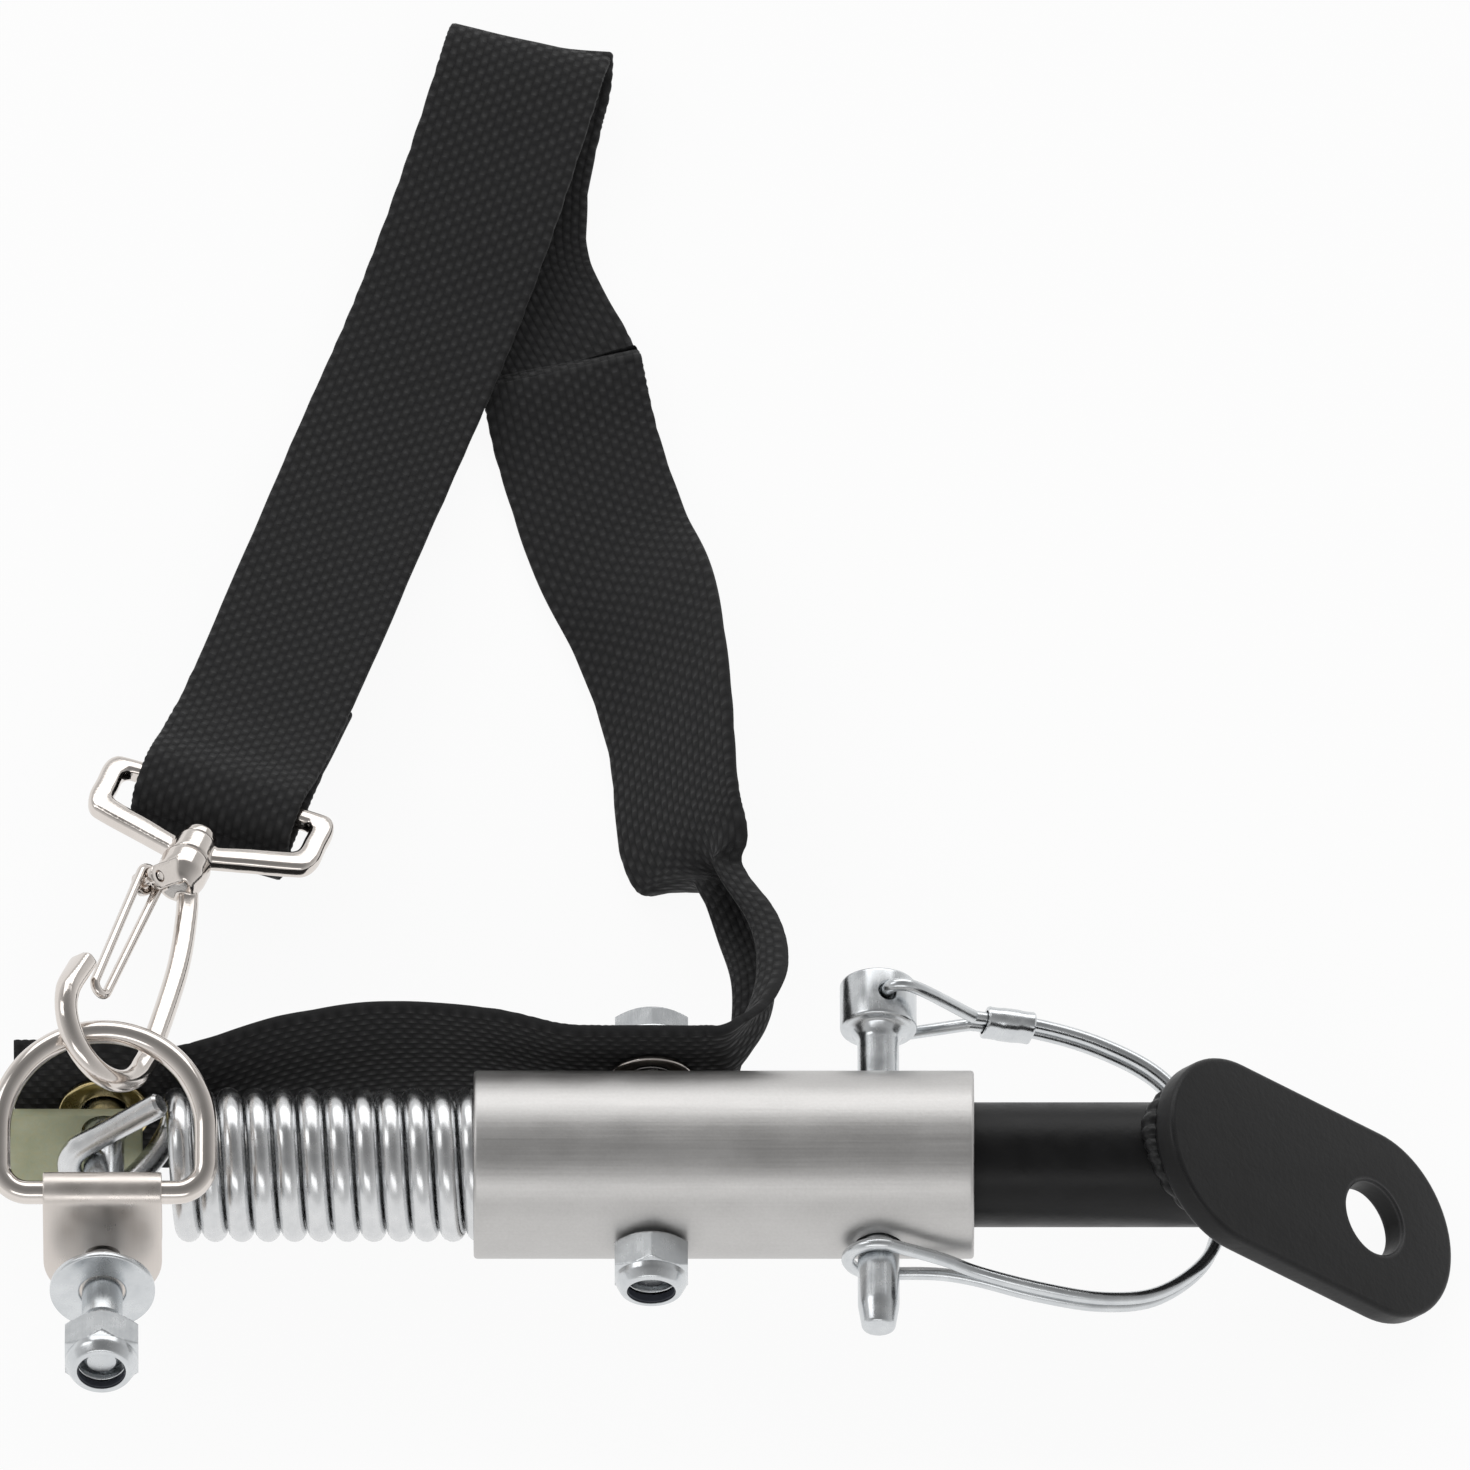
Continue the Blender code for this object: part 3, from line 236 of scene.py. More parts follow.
def wire(name, path, radius, place, closed=False, sides=16, blunt=0.4):
    """A round wire along a path, with its sections carried along without twist and its cut ends eased."""
    path = [Vector(p) for p in path]
    ease = [1.0] * len(path)
    if not closed:
        first = path[0] + (path[1] - path[0]).normalized() * blunt
        last = path[-1] + (path[-2] - path[-1]).normalized() * blunt
        path = [path[0], first, *path[1:-1], last, path[-1]]
        ease = [0.8, 1.0, *ease[1:-1], 1.0, 0.8]
    heads = headings(path, closed)
    across = [heads[0].orthogonal().normalized()]
    for a, b in zip(heads, heads[1:]):
        across.append(a.rotation_difference(b) @ across[-1])
    twist = 0.0
    if closed:
        arrived = heads[-1].rotation_difference(heads[0]) @ across[-1]
        twist = math.atan2(heads[0].dot(across[0].cross(arrived)), across[0].dot(arrived))
    stations = []
    for index, (point, head) in enumerate(zip(path, heads)):
        side = Quaternion(head, -twist * index / len(path)) @ across[index]
        size = radius * ease[index]
        stations.append((point, side, head.cross(side), size, size, 2))
    return loft(name, stations, place, sides, closed)


def smooth(keys, steps):
    """Points on a Catmull-Rom curve through the keys."""
    keys = [Vector(key) for key in keys]
    padded = [2 * keys[0] - keys[1], *keys, 2 * keys[-1] - keys[-2]]
    points = []
    for a, b, c, d in zip(padded, padded[1:], padded[2:], padded[3:]):
        for step in range(steps):
            t = step / steps
            bend = (2 * a - 5 * b + 4 * c - d) * t**2 + (3 * b - 3 * c + d - a) * t**3
            points.append(0.5 * (2 * b + (c - a) * t + bend))
    return [*points, keys[-1]]


def obround(half_length, radius, steps=10):
    """Outline of a slot shape along x."""
    points = []
    for side, start in ((1, -90), (-1, 90)):
        for step in range(steps + 1):
            angle = math.radians(start + 180 * step / steps)
            points.append((side * half_length + radius * math.cos(angle), radius * math.sin(angle)))
    return points


def settle(piece):
    """Applies a piece's modifiers to its mesh."""
    graph = bpy.context.evaluated_depsgraph_get()
    mesh = bpy.data.meshes.new_from_object(
        piece.evaluated_get(graph), preserve_all_data_layers=True, depsgraph=graph
    )
    piece.modifiers.clear()
    old = piece.data
    piece.data = mesh
    bpy.data.meshes.remove(old)


def cut(piece, *cutters):
    """Cuts other solids out of a piece and removes them."""
    for cutter in cutters:
        step = piece.modifiers.new("cut", "BOOLEAN")
        step.operation = "DIFFERENCE"
        step.object = cutter
    settle(piece)
    for cutter in cutters:
        bpy.data.objects.remove(cutter, do_unlink=True)


def cast(piece, *others, voxel=0.22, rounds=5):
    """Melts overlapping solids into one casting with soft edges."""
    shape = bmesh.new()
    for source in (piece, *others):
        shape.from_mesh(source.data)
    shape.to_mesh(piece.data)
    shape.free()
    for other in others:
        bpy.data.objects.remove(other, do_unlink=True)
    melt = piece.modifiers.new("melt", "REMESH")
    melt.mode = "VOXEL"
    melt.voxel_size = voxel * MM
    soften = piece.modifiers.new("soften", "SMOOTH")
    soften.iterations = rounds
    soften.factor = 0.5
    settle(piece)
    pattern = piece.data.attributes.get("local")
    if pattern:
        piece.data.attributes.remove(pattern)


def bore(radius, low, high, place, flare=0.3, sides=48):
    """A drill with a flare at both ends, which leaves a deburred edge."""
    wide = radius + flare
    rows = [(wide, low), (radius, low + flare), (radius, high - flare), (wide, high)]
    rows = [(wide, low - 2), *rows, (wide, high + 2)]
    return lathe("drill", rows, place, sides)


print("tools ready")

# %% [markdown]
# ## Shader sums as Python
#
# A finish is easier to read as a formula than as a tangle of nodes. The class below wraps a node's
# output, so that adding or multiplying two of them adds the Math node that does it. Any other node
# comes from one method. Colours are blended by a Mix node, because a Math node would turn them
# grey.


# %% Shader helpers
class Output:
    """An output socket. Arithmetic on it adds Math nodes to its finish."""

    def __init__(self, finish, socket):
        self.finish = finish
        self.socket = socket

    def sum(self, operation, first, second=0.0):
        return self.finish.node("ShaderNodeMath", {"operation": operation}, {0: first, 1: second})

    def __add__(self, other):
        return self.sum("ADD", self, other)

    def __radd__(self, other):
        return self.sum("ADD", other, self)

    def __sub__(self, other):
        return self.sum("SUBTRACT", self, other)

    def __rsub__(self, other):
        return self.sum("SUBTRACT", other, self)

    def __mul__(self, other):
        return self.sum("MULTIPLY", self, other)

    def __rmul__(self, other):
        return self.sum("MULTIPLY", other, self)

    def __truediv__(self, other):
        return self.sum("DIVIDE", self, other)

    def __rtruediv__(self, other):
        return self.sum("DIVIDE", other, self)

    def __mod__(self, other):
        return self.sum("FLOORED_MODULO", self, other)

    def __pow__(self, other):
        return self.sum("POWER", self, other)

    def __abs__(self):
        return self.sum("ABSOLUTE", self)

    def whole(self):
        return self.sum("FLOOR", self)

    def at_most(self, other):
        return self.sum("MINIMUM", self, other)

    def at_least(self, other):
        return self.sum("MAXIMUM", self, other)

    def other(self, name):
        """Another output of the same node."""
        return Output(self.finish, self.socket.node.outputs[name])


def spoken(name):
    """A socket's name as the shader spells it."""
    return name.replace("_", " ").title().replace("Ior", "IOR")


class Nodes:
    """A node tree that formulas are written into."""

    def __init__(self, tree):
        self.tree = tree

    def give(self, socket, value):
        if isinstance(value, Output):
            self.tree.links.new(value.socket, socket)
        else:
            socket.default_value = value

    def node(self, kind, settings=None, sockets=None, output=0):
        """Any node: its type, its settings, then the values or links of its sockets."""
        made = self.tree.nodes.new(kind)
        for name, value in (settings or {}).items():
            setattr(made, name, value)
        for name, value in (sockets or {}).items():
            self.give(made.inputs[name], value)
        return Output(self, made.outputs[output])


class Finish(Nodes):
    """A material built from formulas. It starts with a Principled shader."""

    def __init__(self, name, **fixed):
        self.material = bpy.data.materials.new(name)
        self.material.use_nodes = True
        super().__init__(self.material.node_tree)
        self.shader = self.tree.nodes["Principled BSDF"]
        self.set(**fixed)

    def set(self, **sockets):
        for name, value in sockets.items():
            self.give(self.shader.inputs[spoken(name)], value)

    def local(self, *stretch):
        """Pattern coordinates in millimetres, each axis multiplied by its share of stretch."""
        settings = {"attribute_type": "GEOMETRY", "attribute_name": "local"}
        spot = self.node("ShaderNodeAttribute", settings, output="Vector")
        if stretch:
            spot = self.node("ShaderNodeVectorMath", {"operation": "MULTIPLY"}, {0: spot, 1: stretch})
        return spot

    def cloud(self, spot, scale, detail=3.0, contrast=1.0):
        """Soft noise from 0 to 1 round 0.5."""
        sockets = {"Vector": spot, "Scale": scale, "Detail": detail}
        fog = self.node("ShaderNodeTexNoise", None, sockets)
        return fog if contrast == 1 else (fog - 0.5) * contrast + 0.5

    def blend(self, first, second, share):
        sockets = {0: share, 6: first, 7: second}
        settings = {"data_type": "RGBA", "clamp_factor": True}
        return self.node("ShaderNodeMix", settings, sockets, 2)

    def relief(self, height, strength=1.0):
        """A bump from a height in millimetres."""
        sockets = {"Strength": strength, "Distance": MM, "Height": height}
        self.set(normal=self.node("ShaderNodeBump", None, sockets))


def colour(*parts):
    return (*parts, 1.0)


print("shader helpers ready")

# %% [markdown]
# ## Metal finishes
#
# The sleeve is drawn aluminium tube with a satin surface: fine lines run along it, with small dull
# specks. The spring and the bolts are zinc plated, bright on the wire and a little mottled on the
# bolts. The D-ring and the hook are polished nickel, which is warm, and the clip is duller nickel.
# One eyelet is yellow zinc. Each finish varies its roughness as well as its colour, because that
# is what catches the eye on bare metal.


# %% Metal finishes
def satin_aluminium():
    made = Finish("satin_aluminium", metallic=1.0)
    drawn = made.cloud(made.local(3.0, 3.0, 0.035), 1.0, 4.0, 1.6)
    specks = made.cloud(made.local(), 2.2, 2.0, 3.0)
    blotches = made.cloud(made.local(), 0.12, 3.0, 2.0)
    tone = drawn * 0.35 + blotches * 0.45 + specks * 0.2
    made.set(base_color=made.blend(colour(0.51, 0.50, 0.49), colour(0.64, 0.63, 0.62), tone))
    made.set(roughness=0.33 + 0.12 * drawn + 0.08 * blotches)
    made.relief(drawn * 0.004 + specks * 0.003)
    return made.material


def plated(name, dark, light, rough, mottle, lines):
    """Plated metal: mottled tone and roughness, with fine lines along the piece's own Z."""
    made = Finish(name, metallic=1.0)
    clouds = made.cloud(made.local(), mottle, 4.0, 1.8)
    scratch = made.cloud(made.local(4.0, 4.0, 0.12), 1.0, 3.0, 1.5)
    grain = made.cloud(made.local(), 5.0, 2.0)
    made.set(base_color=made.blend(colour(*dark), colour(*light), clouds * 0.75 + scratch * 0.25))
    made.set(roughness=rough + (clouds - 0.5) * rough * 0.7 + (scratch - 0.5) * 0.06)
    made.relief(scratch * lines + grain * lines * 0.6)
    return made.material


ALUMINIUM = satin_aluminium()
BRIGHT_WIRE = plated("bright_zinc_wire", (0.60, 0.61, 0.62), (0.78, 0.785, 0.79), 0.25, 0.5, 0.003)
BOLT_ZINC = plated("zinc_plate", (0.56, 0.58, 0.60), (0.76, 0.78, 0.79), 0.25, 0.35, 0.003)
NICKEL = plated("warm_nickel_plate", (0.66, 0.61, 0.57), (0.78, 0.73, 0.69), 0.13, 0.2, 0.0025)
TUMBLED_NICKEL = plated("tumbled_nickel_plate", (0.64, 0.59, 0.55), (0.76, 0.71, 0.67), 0.34, 0.2, 0.003)
YELLOW_ZINC = plated("yellow_zinc_plate", (0.55, 0.42, 0.16), (0.78, 0.67, 0.4), 0.24, 0.3, 0.004)
print("metal finishes:", 6)

# %% [markdown]
# ## Paint, nylon, sheet and webbing
#
# Powder coat is a plastic skin with a faint orange peel. Its edges are painted lighter, a painted
# highlight for the light that the rounded edges catch, so its tone follows how far the surface turns
# within a millimetre. The webbing is woven polypropylene: each column of yarn shows as a row of
# small lozenges, and neighbouring columns are half a step apart. The crowns of the yarn are painted
# lighter and the gaps darker, a painted highlight and painted shade. Its pattern is laid out in
# millimetres on the strap's own width and length, so that the weave follows every fold.


# %% Paint, nylon, sheet and webbing
# Painted highlight: how wide and how strong the lighter base colour on the paint's rounded edges is.
EDGE_HIGHLIGHT_RADIUS = 0.8
EDGE_HIGHLIGHT_CONTRAST = 20.0


def powder_coat():
    made = Finish("black_powder_coat", specular_ior_level=0.26)
    peel = made.cloud(made.local(), 0.9, 2.0)
    dust = made.cloud(made.local(), 0.25, 5.0, 2.2)
    rounded_way = made.node("ShaderNodeBevel", {"samples": 6}, {"Radius": EDGE_HIGHLIGHT_RADIUS * MM})
    way = made.node("ShaderNodeNewGeometry", None, None, "Normal")
    compare = {"operation": "DOT_PRODUCT"}
    alike = made.node("ShaderNodeVectorMath", compare, {0: rounded_way, 1: way}, "Value")
    # Painted highlight: this edge mask lightens the base colour where the surface turns, and lowers the
    # roughness there.
    painted_edge_highlight = ((1.0 - alike) * EDGE_HIGHLIGHT_CONTRAST).at_most(1.0)
    base = made.blend(colour(0.003, 0.003, 0.0033), colour(0.008, 0.008, 0.0085), dust)
    made.set(base_color=made.blend(base, colour(0.06, 0.06, 0.062), painted_edge_highlight))
    made.set(roughness=0.34 + 0.12 * dust - 0.1 * painted_edge_highlight)
    made.relief(peel * 0.035 + dust * 0.01)
    return made.material


def nylon():
    made = Finish("dark_nylon")
    grain = made.cloud(made.local(), 1.5, 3.0)
    made.set(base_color=made.blend(colour(0.02, 0.023, 0.032), colour(0.05, 0.056, 0.075), grain))
    made.set(roughness=0.4 + 0.2 * grain)
    made.relief(grain * 0.02)
    return made.material


def olive_sheet():
    made = Finish("pale_olive_sheet")
    clouds = made.cloud(made.local(), 0.16, 4.0, 2.0)
    specks = made.cloud(made.local(), 1.4, 2.0, 2.5)
    base = made.blend(colour(0.36, 0.40, 0.26), colour(0.56, 0.58, 0.42), clouds)
    made.set(base_color=made.blend(base, colour(0.62, 0.52, 0.24), specks * 0.25))
    made.set(roughness=0.42 + 0.3 * specks)
    made.relief(specks * 0.02)
    return made.material


YARN_WIDE = 1.25
YARN_LONG = 2.4


def webbing():
    made = Finish("black_webbing", specular_ior_level=0.3, sheen_weight=0.08, sheen_roughness=0.4)
    flat = made.node("ShaderNodeUVMap", {"uv_map": "weave"})
    width = made.node("ShaderNodeSeparateXYZ", None, {0: flat})
    length = width.other("Y")
    wander = made.cloud(flat, 0.35, 2.0) - 0.5
    column = (width + wander * 0.4) / YARN_WIDE
    row = (length + wander * 0.9) / YARN_LONG + (column.whole() % 2.0) * 0.5
    aside = abs((column % 1.0) - 0.5) * 2.0
    ahead = abs((row % 1.0) - 0.5) * 2.0
    hump = (1.0 - aside**2.0) * (1.0 - ahead) ** 1.3
    fibre = made.cloud(flat, 6.0, 2.0)
    tuft = made.cloud(flat, 0.8, 2.0, 2.0)
    # Painted highlight and painted shade: the yarn crowns are painted lighter and the gaps between them
    # darker, varied at random by tuft.
    painted_crown_light = hump * (0.3 + 0.75 * tuft) + fibre * 0.25
    patch = made.cloud(flat, 0.06, 4.0, 2.0)
    weave_with_painted_light_and_shade = made.blend(colour(0.010, 0.010, 0.0104), colour(0.040, 0.040, 0.041), painted_crown_light)
    made.set(base_color=made.blend(weave_with_painted_light_and_shade, colour(0.02, 0.02, 0.021), patch * 0.3))
    made.set(roughness=0.88 - 0.2 * hump)
    made.relief(hump * 0.3 + fibre * 0.04)
    return made.material


PAINT = powder_coat()
NYLON = nylon()
OLIVE = olive_sheet()
WEBBING = webbing()
print("other finishes:", 4)

# %% [markdown]
# ## Handing a piece to the frame
#
# A finished piece takes the place of its plain solid and moves with the same body. The pattern
# coordinates are worked out last, from the piece's own frame, so that holes cut by a Boolean don't
# disturb them.


# %% Hand over
def dress(piece, finish, place, sharp=35):
    mesh = piece.data
    mesh.materials.clear()
    mesh.materials.append(finish)
    mesh.shade_smooth()
    mesh.set_sharp_from_angle(angle=math.radians(sharp))
    if "local" in mesh.attributes:
        return
    from_world = (COUPLER @ Matrix.Scale(MM, 4) @ place).inverted()
    pattern = mesh.attributes.new("local", "FLOAT_VECTOR", "POINT")
    pattern.data.foreach_set("vector", [c for v in mesh.vertices for c in from_world @ v.co])


def fit(piece, node, body, slot, finish, place, sharp=35):
    """Dresses a piece, hides the node that it stands for, and lets it ride on its body."""
    dress(piece, finish, place, sharp)
    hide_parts(node)
    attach(piece, body)
    print(node, len(piece.data.polygons), "faces")


# %% [markdown]
# ## Sleeve
#
# The sleeve is a length of tube, turned at both ends and bored in two widths. A lathe makes it in
# one go as a closed profile. The pin and the bolt go through cross holes, which are cut afterwards
# with a small flare, so that the edges look deburred.

# %% Sleeve
GAP = 0.3
SLEEVE_RADIUS = 14.3
SLEEVE_END = 14.5
SLEEVE_MOUTH = -61.5
SLEEVE_BOLT_X = -34.5
SPRING_BORE = 12.1
TUBE_BORE = 9.85
BORE_STEP = -22.5
BOLT_RADIUS = 3.1
BOLT_HOLE = 3.5
PIN_RADIUS = 3.175
PIN_HOLE = PIN_RADIUS + 0.4
AT_SLEEVE_BOLT = shift(SLEEVE_BOLT_X, 0, 0) @ TO_FRONT

SLEEVE_EASE = 0.6
mouth = [(SPRING_BORE, SLEEVE_MOUTH), (SLEEVE_RADIUS, SLEEVE_MOUTH), (SLEEVE_RADIUS, -60)]
body = [(SLEEVE_RADIUS, x) for x in range(-58, 13, 2)]
end = [(SLEEVE_RADIUS, 13), (SLEEVE_RADIUS, SLEEVE_END), (TUBE_BORE, SLEEVE_END)]
sleeve_rows = [*rounded(mouth, SLEEVE_EASE), *body, *rounded(end, SLEEVE_EASE)]
sleeve_rows += [(TUBE_BORE, BORE_STEP), (SPRING_BORE, BORE_STEP)]
sleeve = lathe("turned_sleeve", sleeve_rows, ALONG_X, sides=144, ring=True)
reach = SLEEVE_RADIUS
cut(sleeve, bore(PIN_HOLE, -reach, reach, TO_FRONT), bore(BOLT_HOLE, -reach, reach, AT_SLEEVE_BOLT))
fit(sleeve, "sleeve", "coupler", "aluminium", ALUMINIUM, ALONG_X)

# %% [markdown]
# ## Hitch tube, plate and weld
#
# The tube is steel, mitred to sit on the sloping plate, and welded all round before it was
# painted. The plate has round ends and soft edges. The bead of weld is a row of overlapping
# ripples, so its section swells and shrinks along the seam instead of staying an even roll.

# %% Hitch tube
TUBE_RADIUS = 9.5
TUBE_WALL = 2.0
TUBE_START = -15.0
PLATE_BACK_X = 53.3
PLATE_ANGLE = math.radians(45)
MITRE = 1 / math.tan(PLATE_ANGLE)


def mitred_tube(sides=96):
    points = []
    inner = TUBE_RADIUS - TUBE_WALL
    ease = 0.5
    for radius, start in (
        (inner, 0.0),
        (TUBE_RADIUS - ease, 0.0),
        (TUBE_RADIUS, ease),
        (TUBE_RADIUS, None),
        (inner, None),
    ):
        for side in range(sides):
            angle = math.tau * side / sides
            y = radius * math.cos(angle)
            z = radius * math.sin(angle)
            x = PLATE_BACK_X - z * MITRE if start is None else TUBE_START + start
            points.append((x, y, z))
    return solid("mitred_tube", points, skin(5, sides, True), HERE)


hitch_tube = mitred_tube()
cut(hitch_tube, bore(PIN_HOLE, -TUBE_RADIUS, TUBE_RADIUS, TO_FRONT))
fit(hitch_tube, "hitch_tube", "coupler", "black_paint", PAINT, HERE)

# %% Hitch plate
PLATE_LENGTH = 61.0
PLATE_WIDTH = 31.0
PLATE_THICK = 4.0
PLATE_HEEL = 17.0
PLATE_EDGE = 0.9
AXLE_HOLE = 6.0
AXLE_HOLE_FROM_TOE = 17.0
PLATE_STEPS = 40
plate_along = Vector((math.cos(PLATE_ANGLE), 0, -math.sin(PLATE_ANGLE)))
plate_out = Vector((math.sin(PLATE_ANGLE), 0, math.cos(PLATE_ANGLE)))
plate_turn = Matrix((plate_along, plate_out.cross(plate_along), plate_out)).transposed().to_4x4()
plate_back = Vector((PLATE_BACK_X + GAP / math.sin(PLATE_ANGLE), 0, 0))
ON_PLATE = Matrix.Translation(plate_back) @ plate_turn


def round_edged_plate():
    half = PLATE_WIDTH / 2
    profile = [(0, 0), (half, 0), (half, PLATE_THICK), (0, PLATE_THICK)]
    rows = rounded(profile, PLATE_EDGE, steps=5)[1:-1]
    middle = PLATE_LENGTH / 2 - PLATE_HEEL
    points = []
    for radius, z in rows:
        outline = obround(PLATE_LENGTH / 2 - half, radius, PLATE_STEPS)
        points += [(x + middle, y, z) for x, y in outline]
    faces = skin(len(rows), 2 * PLATE_STEPS + 2, False)
    return solid("round_edged_plate", points, faces, ON_PLATE)


hole_x = PLATE_LENGTH - PLATE_HEEL - AXLE_HOLE_FROM_TOE
hitch_plate = round_edged_plate()
cut(hitch_plate, bore(AXLE_HOLE, 0, PLATE_THICK, ON_PLATE @ shift(hole_x, 0, 0), 0.35, 96))
fit(hitch_plate, "hitch_plate", "coupler", "black_paint", PAINT, ON_PLATE)

# %% Weld bead
WELD_LEG = 3.0
WELD_RIPPLE = 0.5
WELD_LUMP = 0.5
WELD_RIPPLES = 15


def rippled_bead(around=200, sides=14):
    stations = []
    for step in range(around):
        angle = math.tau * step / around
        wander = noise.noise((angle, 3, 0)) * 3
        ripple = WELD_RIPPLE * abs(math.sin(angle * WELD_RIPPLES + wander))
        lump = WELD_LUMP * noise.noise((math.cos(angle) * 2, math.sin(angle) * 2, 7))
        size = WELD_LEG * 0.5 + ripple + lump
        radius = TUBE_RADIUS + WELD_LEG * 0.32
        y = radius * math.cos(angle)
        z = radius * math.sin(angle)
        x = PLATE_BACK_X - z * MITRE - WELD_LEG * 0.42
        out = Vector((0, math.cos(angle), math.sin(angle)))
        stations.append((Vector((x, y, z)), out, Vector((1, 0, 0)), size, size * 0.95, 2))
    return loft("rippled_weld", stations, HERE, sides, True)


fit(rippled_bead(), "weld_bead", "coupler", "black_paint", PAINT, HERE, sharp=80)

# %% [markdown]
# ## Bolts, nuts, washers and eyelets
#
# A hexagon that was turned on a lathe has chamfered corners: where the cone of the chamfer meets
# the six flats, it leaves six arcs. The radius at each height is therefore the smaller of the
# hexagon's and the cone's. A lock nut has a domed crown, rolled over a nylon ring, and the eyelets
# are rolled from thin sheet.

# %% Hexagons
HEX_FLATS = 11.1
CHAMFER_SLOPE = math.tan(math.radians(60))


def hexagon(limit):
    """Radius of the hexagon at an angle, no larger than the chamfer's cone at this height."""

    def radius(angle):
        off = (angle + math.pi / 6) % (math.pi / 3) - math.pi / 6
        return min(HEX_FLATS / 2 / math.cos(off), limit)

    return radius


def chamfered(low, high, both):
    """Rows of a hexagon from low to high, chamfered at low, or at both ends."""
    rows = []
    depth = 1.0
    steps = 8
    for step in range(steps + 1):
        deep = depth * step / steps
        rows.append((hexagon(HEX_FLATS / 2 * 0.97 + deep * CHAMFER_SLOPE), low + deep))
    if both:
        rows += [(radius, low + high - z) for radius, z in reversed(rows)]
    else:
        rows.append((hexagon(math.inf), high))
    return rows


HEAD_HEIGHT = 4.0
THREAD_PITCH = 1.27
THREAD_DEPTH = 0.42


def thread(z):
    """Radius of a screw thread at one height, as it winds round the bolt."""

    def radius(angle):
        phase = (z / THREAD_PITCH - angle / math.tau) % 1.0
        return BOLT_RADIUS - THREAD_DEPTH * abs(2 * phase - 1)

    return radius


def hex_bolt(name, under_head, thread_from, end, place):
    rows = chamfered(under_head - HEAD_HEIGHT, under_head, False)
    rows += [(BOLT_RADIUS + 0.3, under_head), (BOLT_RADIUS, under_head + 0.3)]
    rows.append((BOLT_RADIUS, thread_from))
    turns = 8
    count = int((end - 0.8 - thread_from) / THREAD_PITCH * turns)
    for step in range(1, count):
        z = thread_from + step * THREAD_PITCH / turns
        rows.append((thread(z), z))
    rows += [(BOLT_RADIUS - THREAD_DEPTH, end - 0.5), (BOLT_RADIUS - 0.9, end)]
    return lathe(name, rows, place, 96)


NUT_HEX = 5.2
NUT_CROWN = 7.6
RING_HEIGHT = 1.6
RING_OUTER = BOLT_HOLE + 0.55
NUT_POCKET = RING_OUTER + GAP
LIP_RADIUS = 3.7
LIP_THICK = 0.2
BOLT_RECESS = 1.2


def lock_nut(name, place):
    face = HEX_FLATS / 2
    crown = [(face - 0.05, NUT_HEX), (face - 0.15, NUT_HEX + 0.9), (face - 0.95, NUT_CROWN)]
    under_lip = NUT_CROWN - LIP_THICK
    seat = NUT_CROWN - RING_HEIGHT - GAP
    crown += [(LIP_RADIUS, NUT_CROWN), (LIP_RADIUS, under_lip), (NUT_POCKET, under_lip)]
    crown += [(NUT_POCKET, seat), (BOLT_HOLE, seat), (BOLT_HOLE, 0.4)]
    rows = [(BOLT_HOLE + 0.4, 0), *chamfered(0, NUT_HEX, True), *rounded(crown, 0.8, steps=5)]
    return lathe(name, rows, place, 96, ring=True)


def nylon_ring(name, place):
    low = NUT_CROWN - RING_HEIGHT
    high = NUT_CROWN - GAP
    profile = [(BOLT_HOLE, low), (RING_OUTER, low), (RING_OUTER, high), (BOLT_HOLE, high)]
    return lathe(name, rounded(profile, 0.2, True), place, 64, ring=True)


WASHER_RADIUS = 8.0
WASHER_THICK = 1.2


def washer(name, low, place):
    high = low + WASHER_THICK
    profile = [(BOLT_HOLE, low), (WASHER_RADIUS, low), (WASHER_RADIUS, high), (BOLT_HOLE, high)]
    return lathe(name, rounded(profile, 0.4, True), place, 96, ring=True)


print("fastener shapes ready")

# %% Fasteners in place
STRAP_THICK = 1.6
EYELET_FLANGE = 1.0
EYELET_BARREL = BOLT_HOLE + 0.8
SLEEVE_STRAP_BACK = 16.7
TOW_STRAP_BACK = 12.8
TOW_BOLT_X = -117.7
TOW_BOLT_FRONT = 43.0
TOW_WASHER_FRONT = 26.0
TOW_ROLL = -15
TOW = shift(TOW_BOLT_X, 0, 0) @ turn(TOW_ROLL, "X")
AT_TOW_BOLT = TOW @ TO_FRONT


def rolled_eyelet(name, radius, strap_at, place):
    grip = STRAP_THICK / 2 + GAP
    far = grip + EYELET_FLANGE
    profile = [(BOLT_HOLE, strap_at - far), (radius, strap_at - far), (radius, strap_at - grip)]
    profile += [(EYELET_BARREL, strap_at - grip), (EYELET_BARREL, strap_at + grip)]
    profile += [(radius, strap_at + grip), (radius, strap_at + far), (BOLT_HOLE, strap_at + far)]
    return lathe(name, rounded(profile, 0.9, True, 6), place, 96, ring=True)


def stack(prefix, strap_back, eyelet_radius, eyelet_finish, eyelet_slot, ends, body, place):
    """What sits on one bolt: the bolt, its back washer, the strap's eyelet and the lock nut."""
    thread_from, end, nut_at = ends
    behind = -(strap_back + STRAP_THICK / 2 + GAP + EYELET_FLANGE + GAP) - WASHER_THICK
    nut_place = place @ shift(0, 0, nut_at)
    zinc = ("zinc", BOLT_ZINC)
    bolt = hex_bolt(prefix + "_hex_bolt", behind - GAP, thread_from, end, place)
    fit(bolt, prefix + "_bolt", body, *zinc, place)
    fit(washer(prefix + "_flat_washer", behind, place), prefix + "_back_washer", body, *zinc, place)
    eyelet = rolled_eyelet(prefix + "_rolled_eyelet", eyelet_radius, -strap_back, place)
    fit(eyelet, prefix + "_strap_eyelet", body, eyelet_slot, eyelet_finish, place)
    fit(lock_nut(prefix + "_lock_nut", nut_place), prefix + "_nut", body, *zinc, nut_place)
    ring = nylon_ring(prefix + "_nylon_insert", nut_place)
    fit(ring, prefix + "_nut_ring", body, "nylon", NYLON, nut_place)


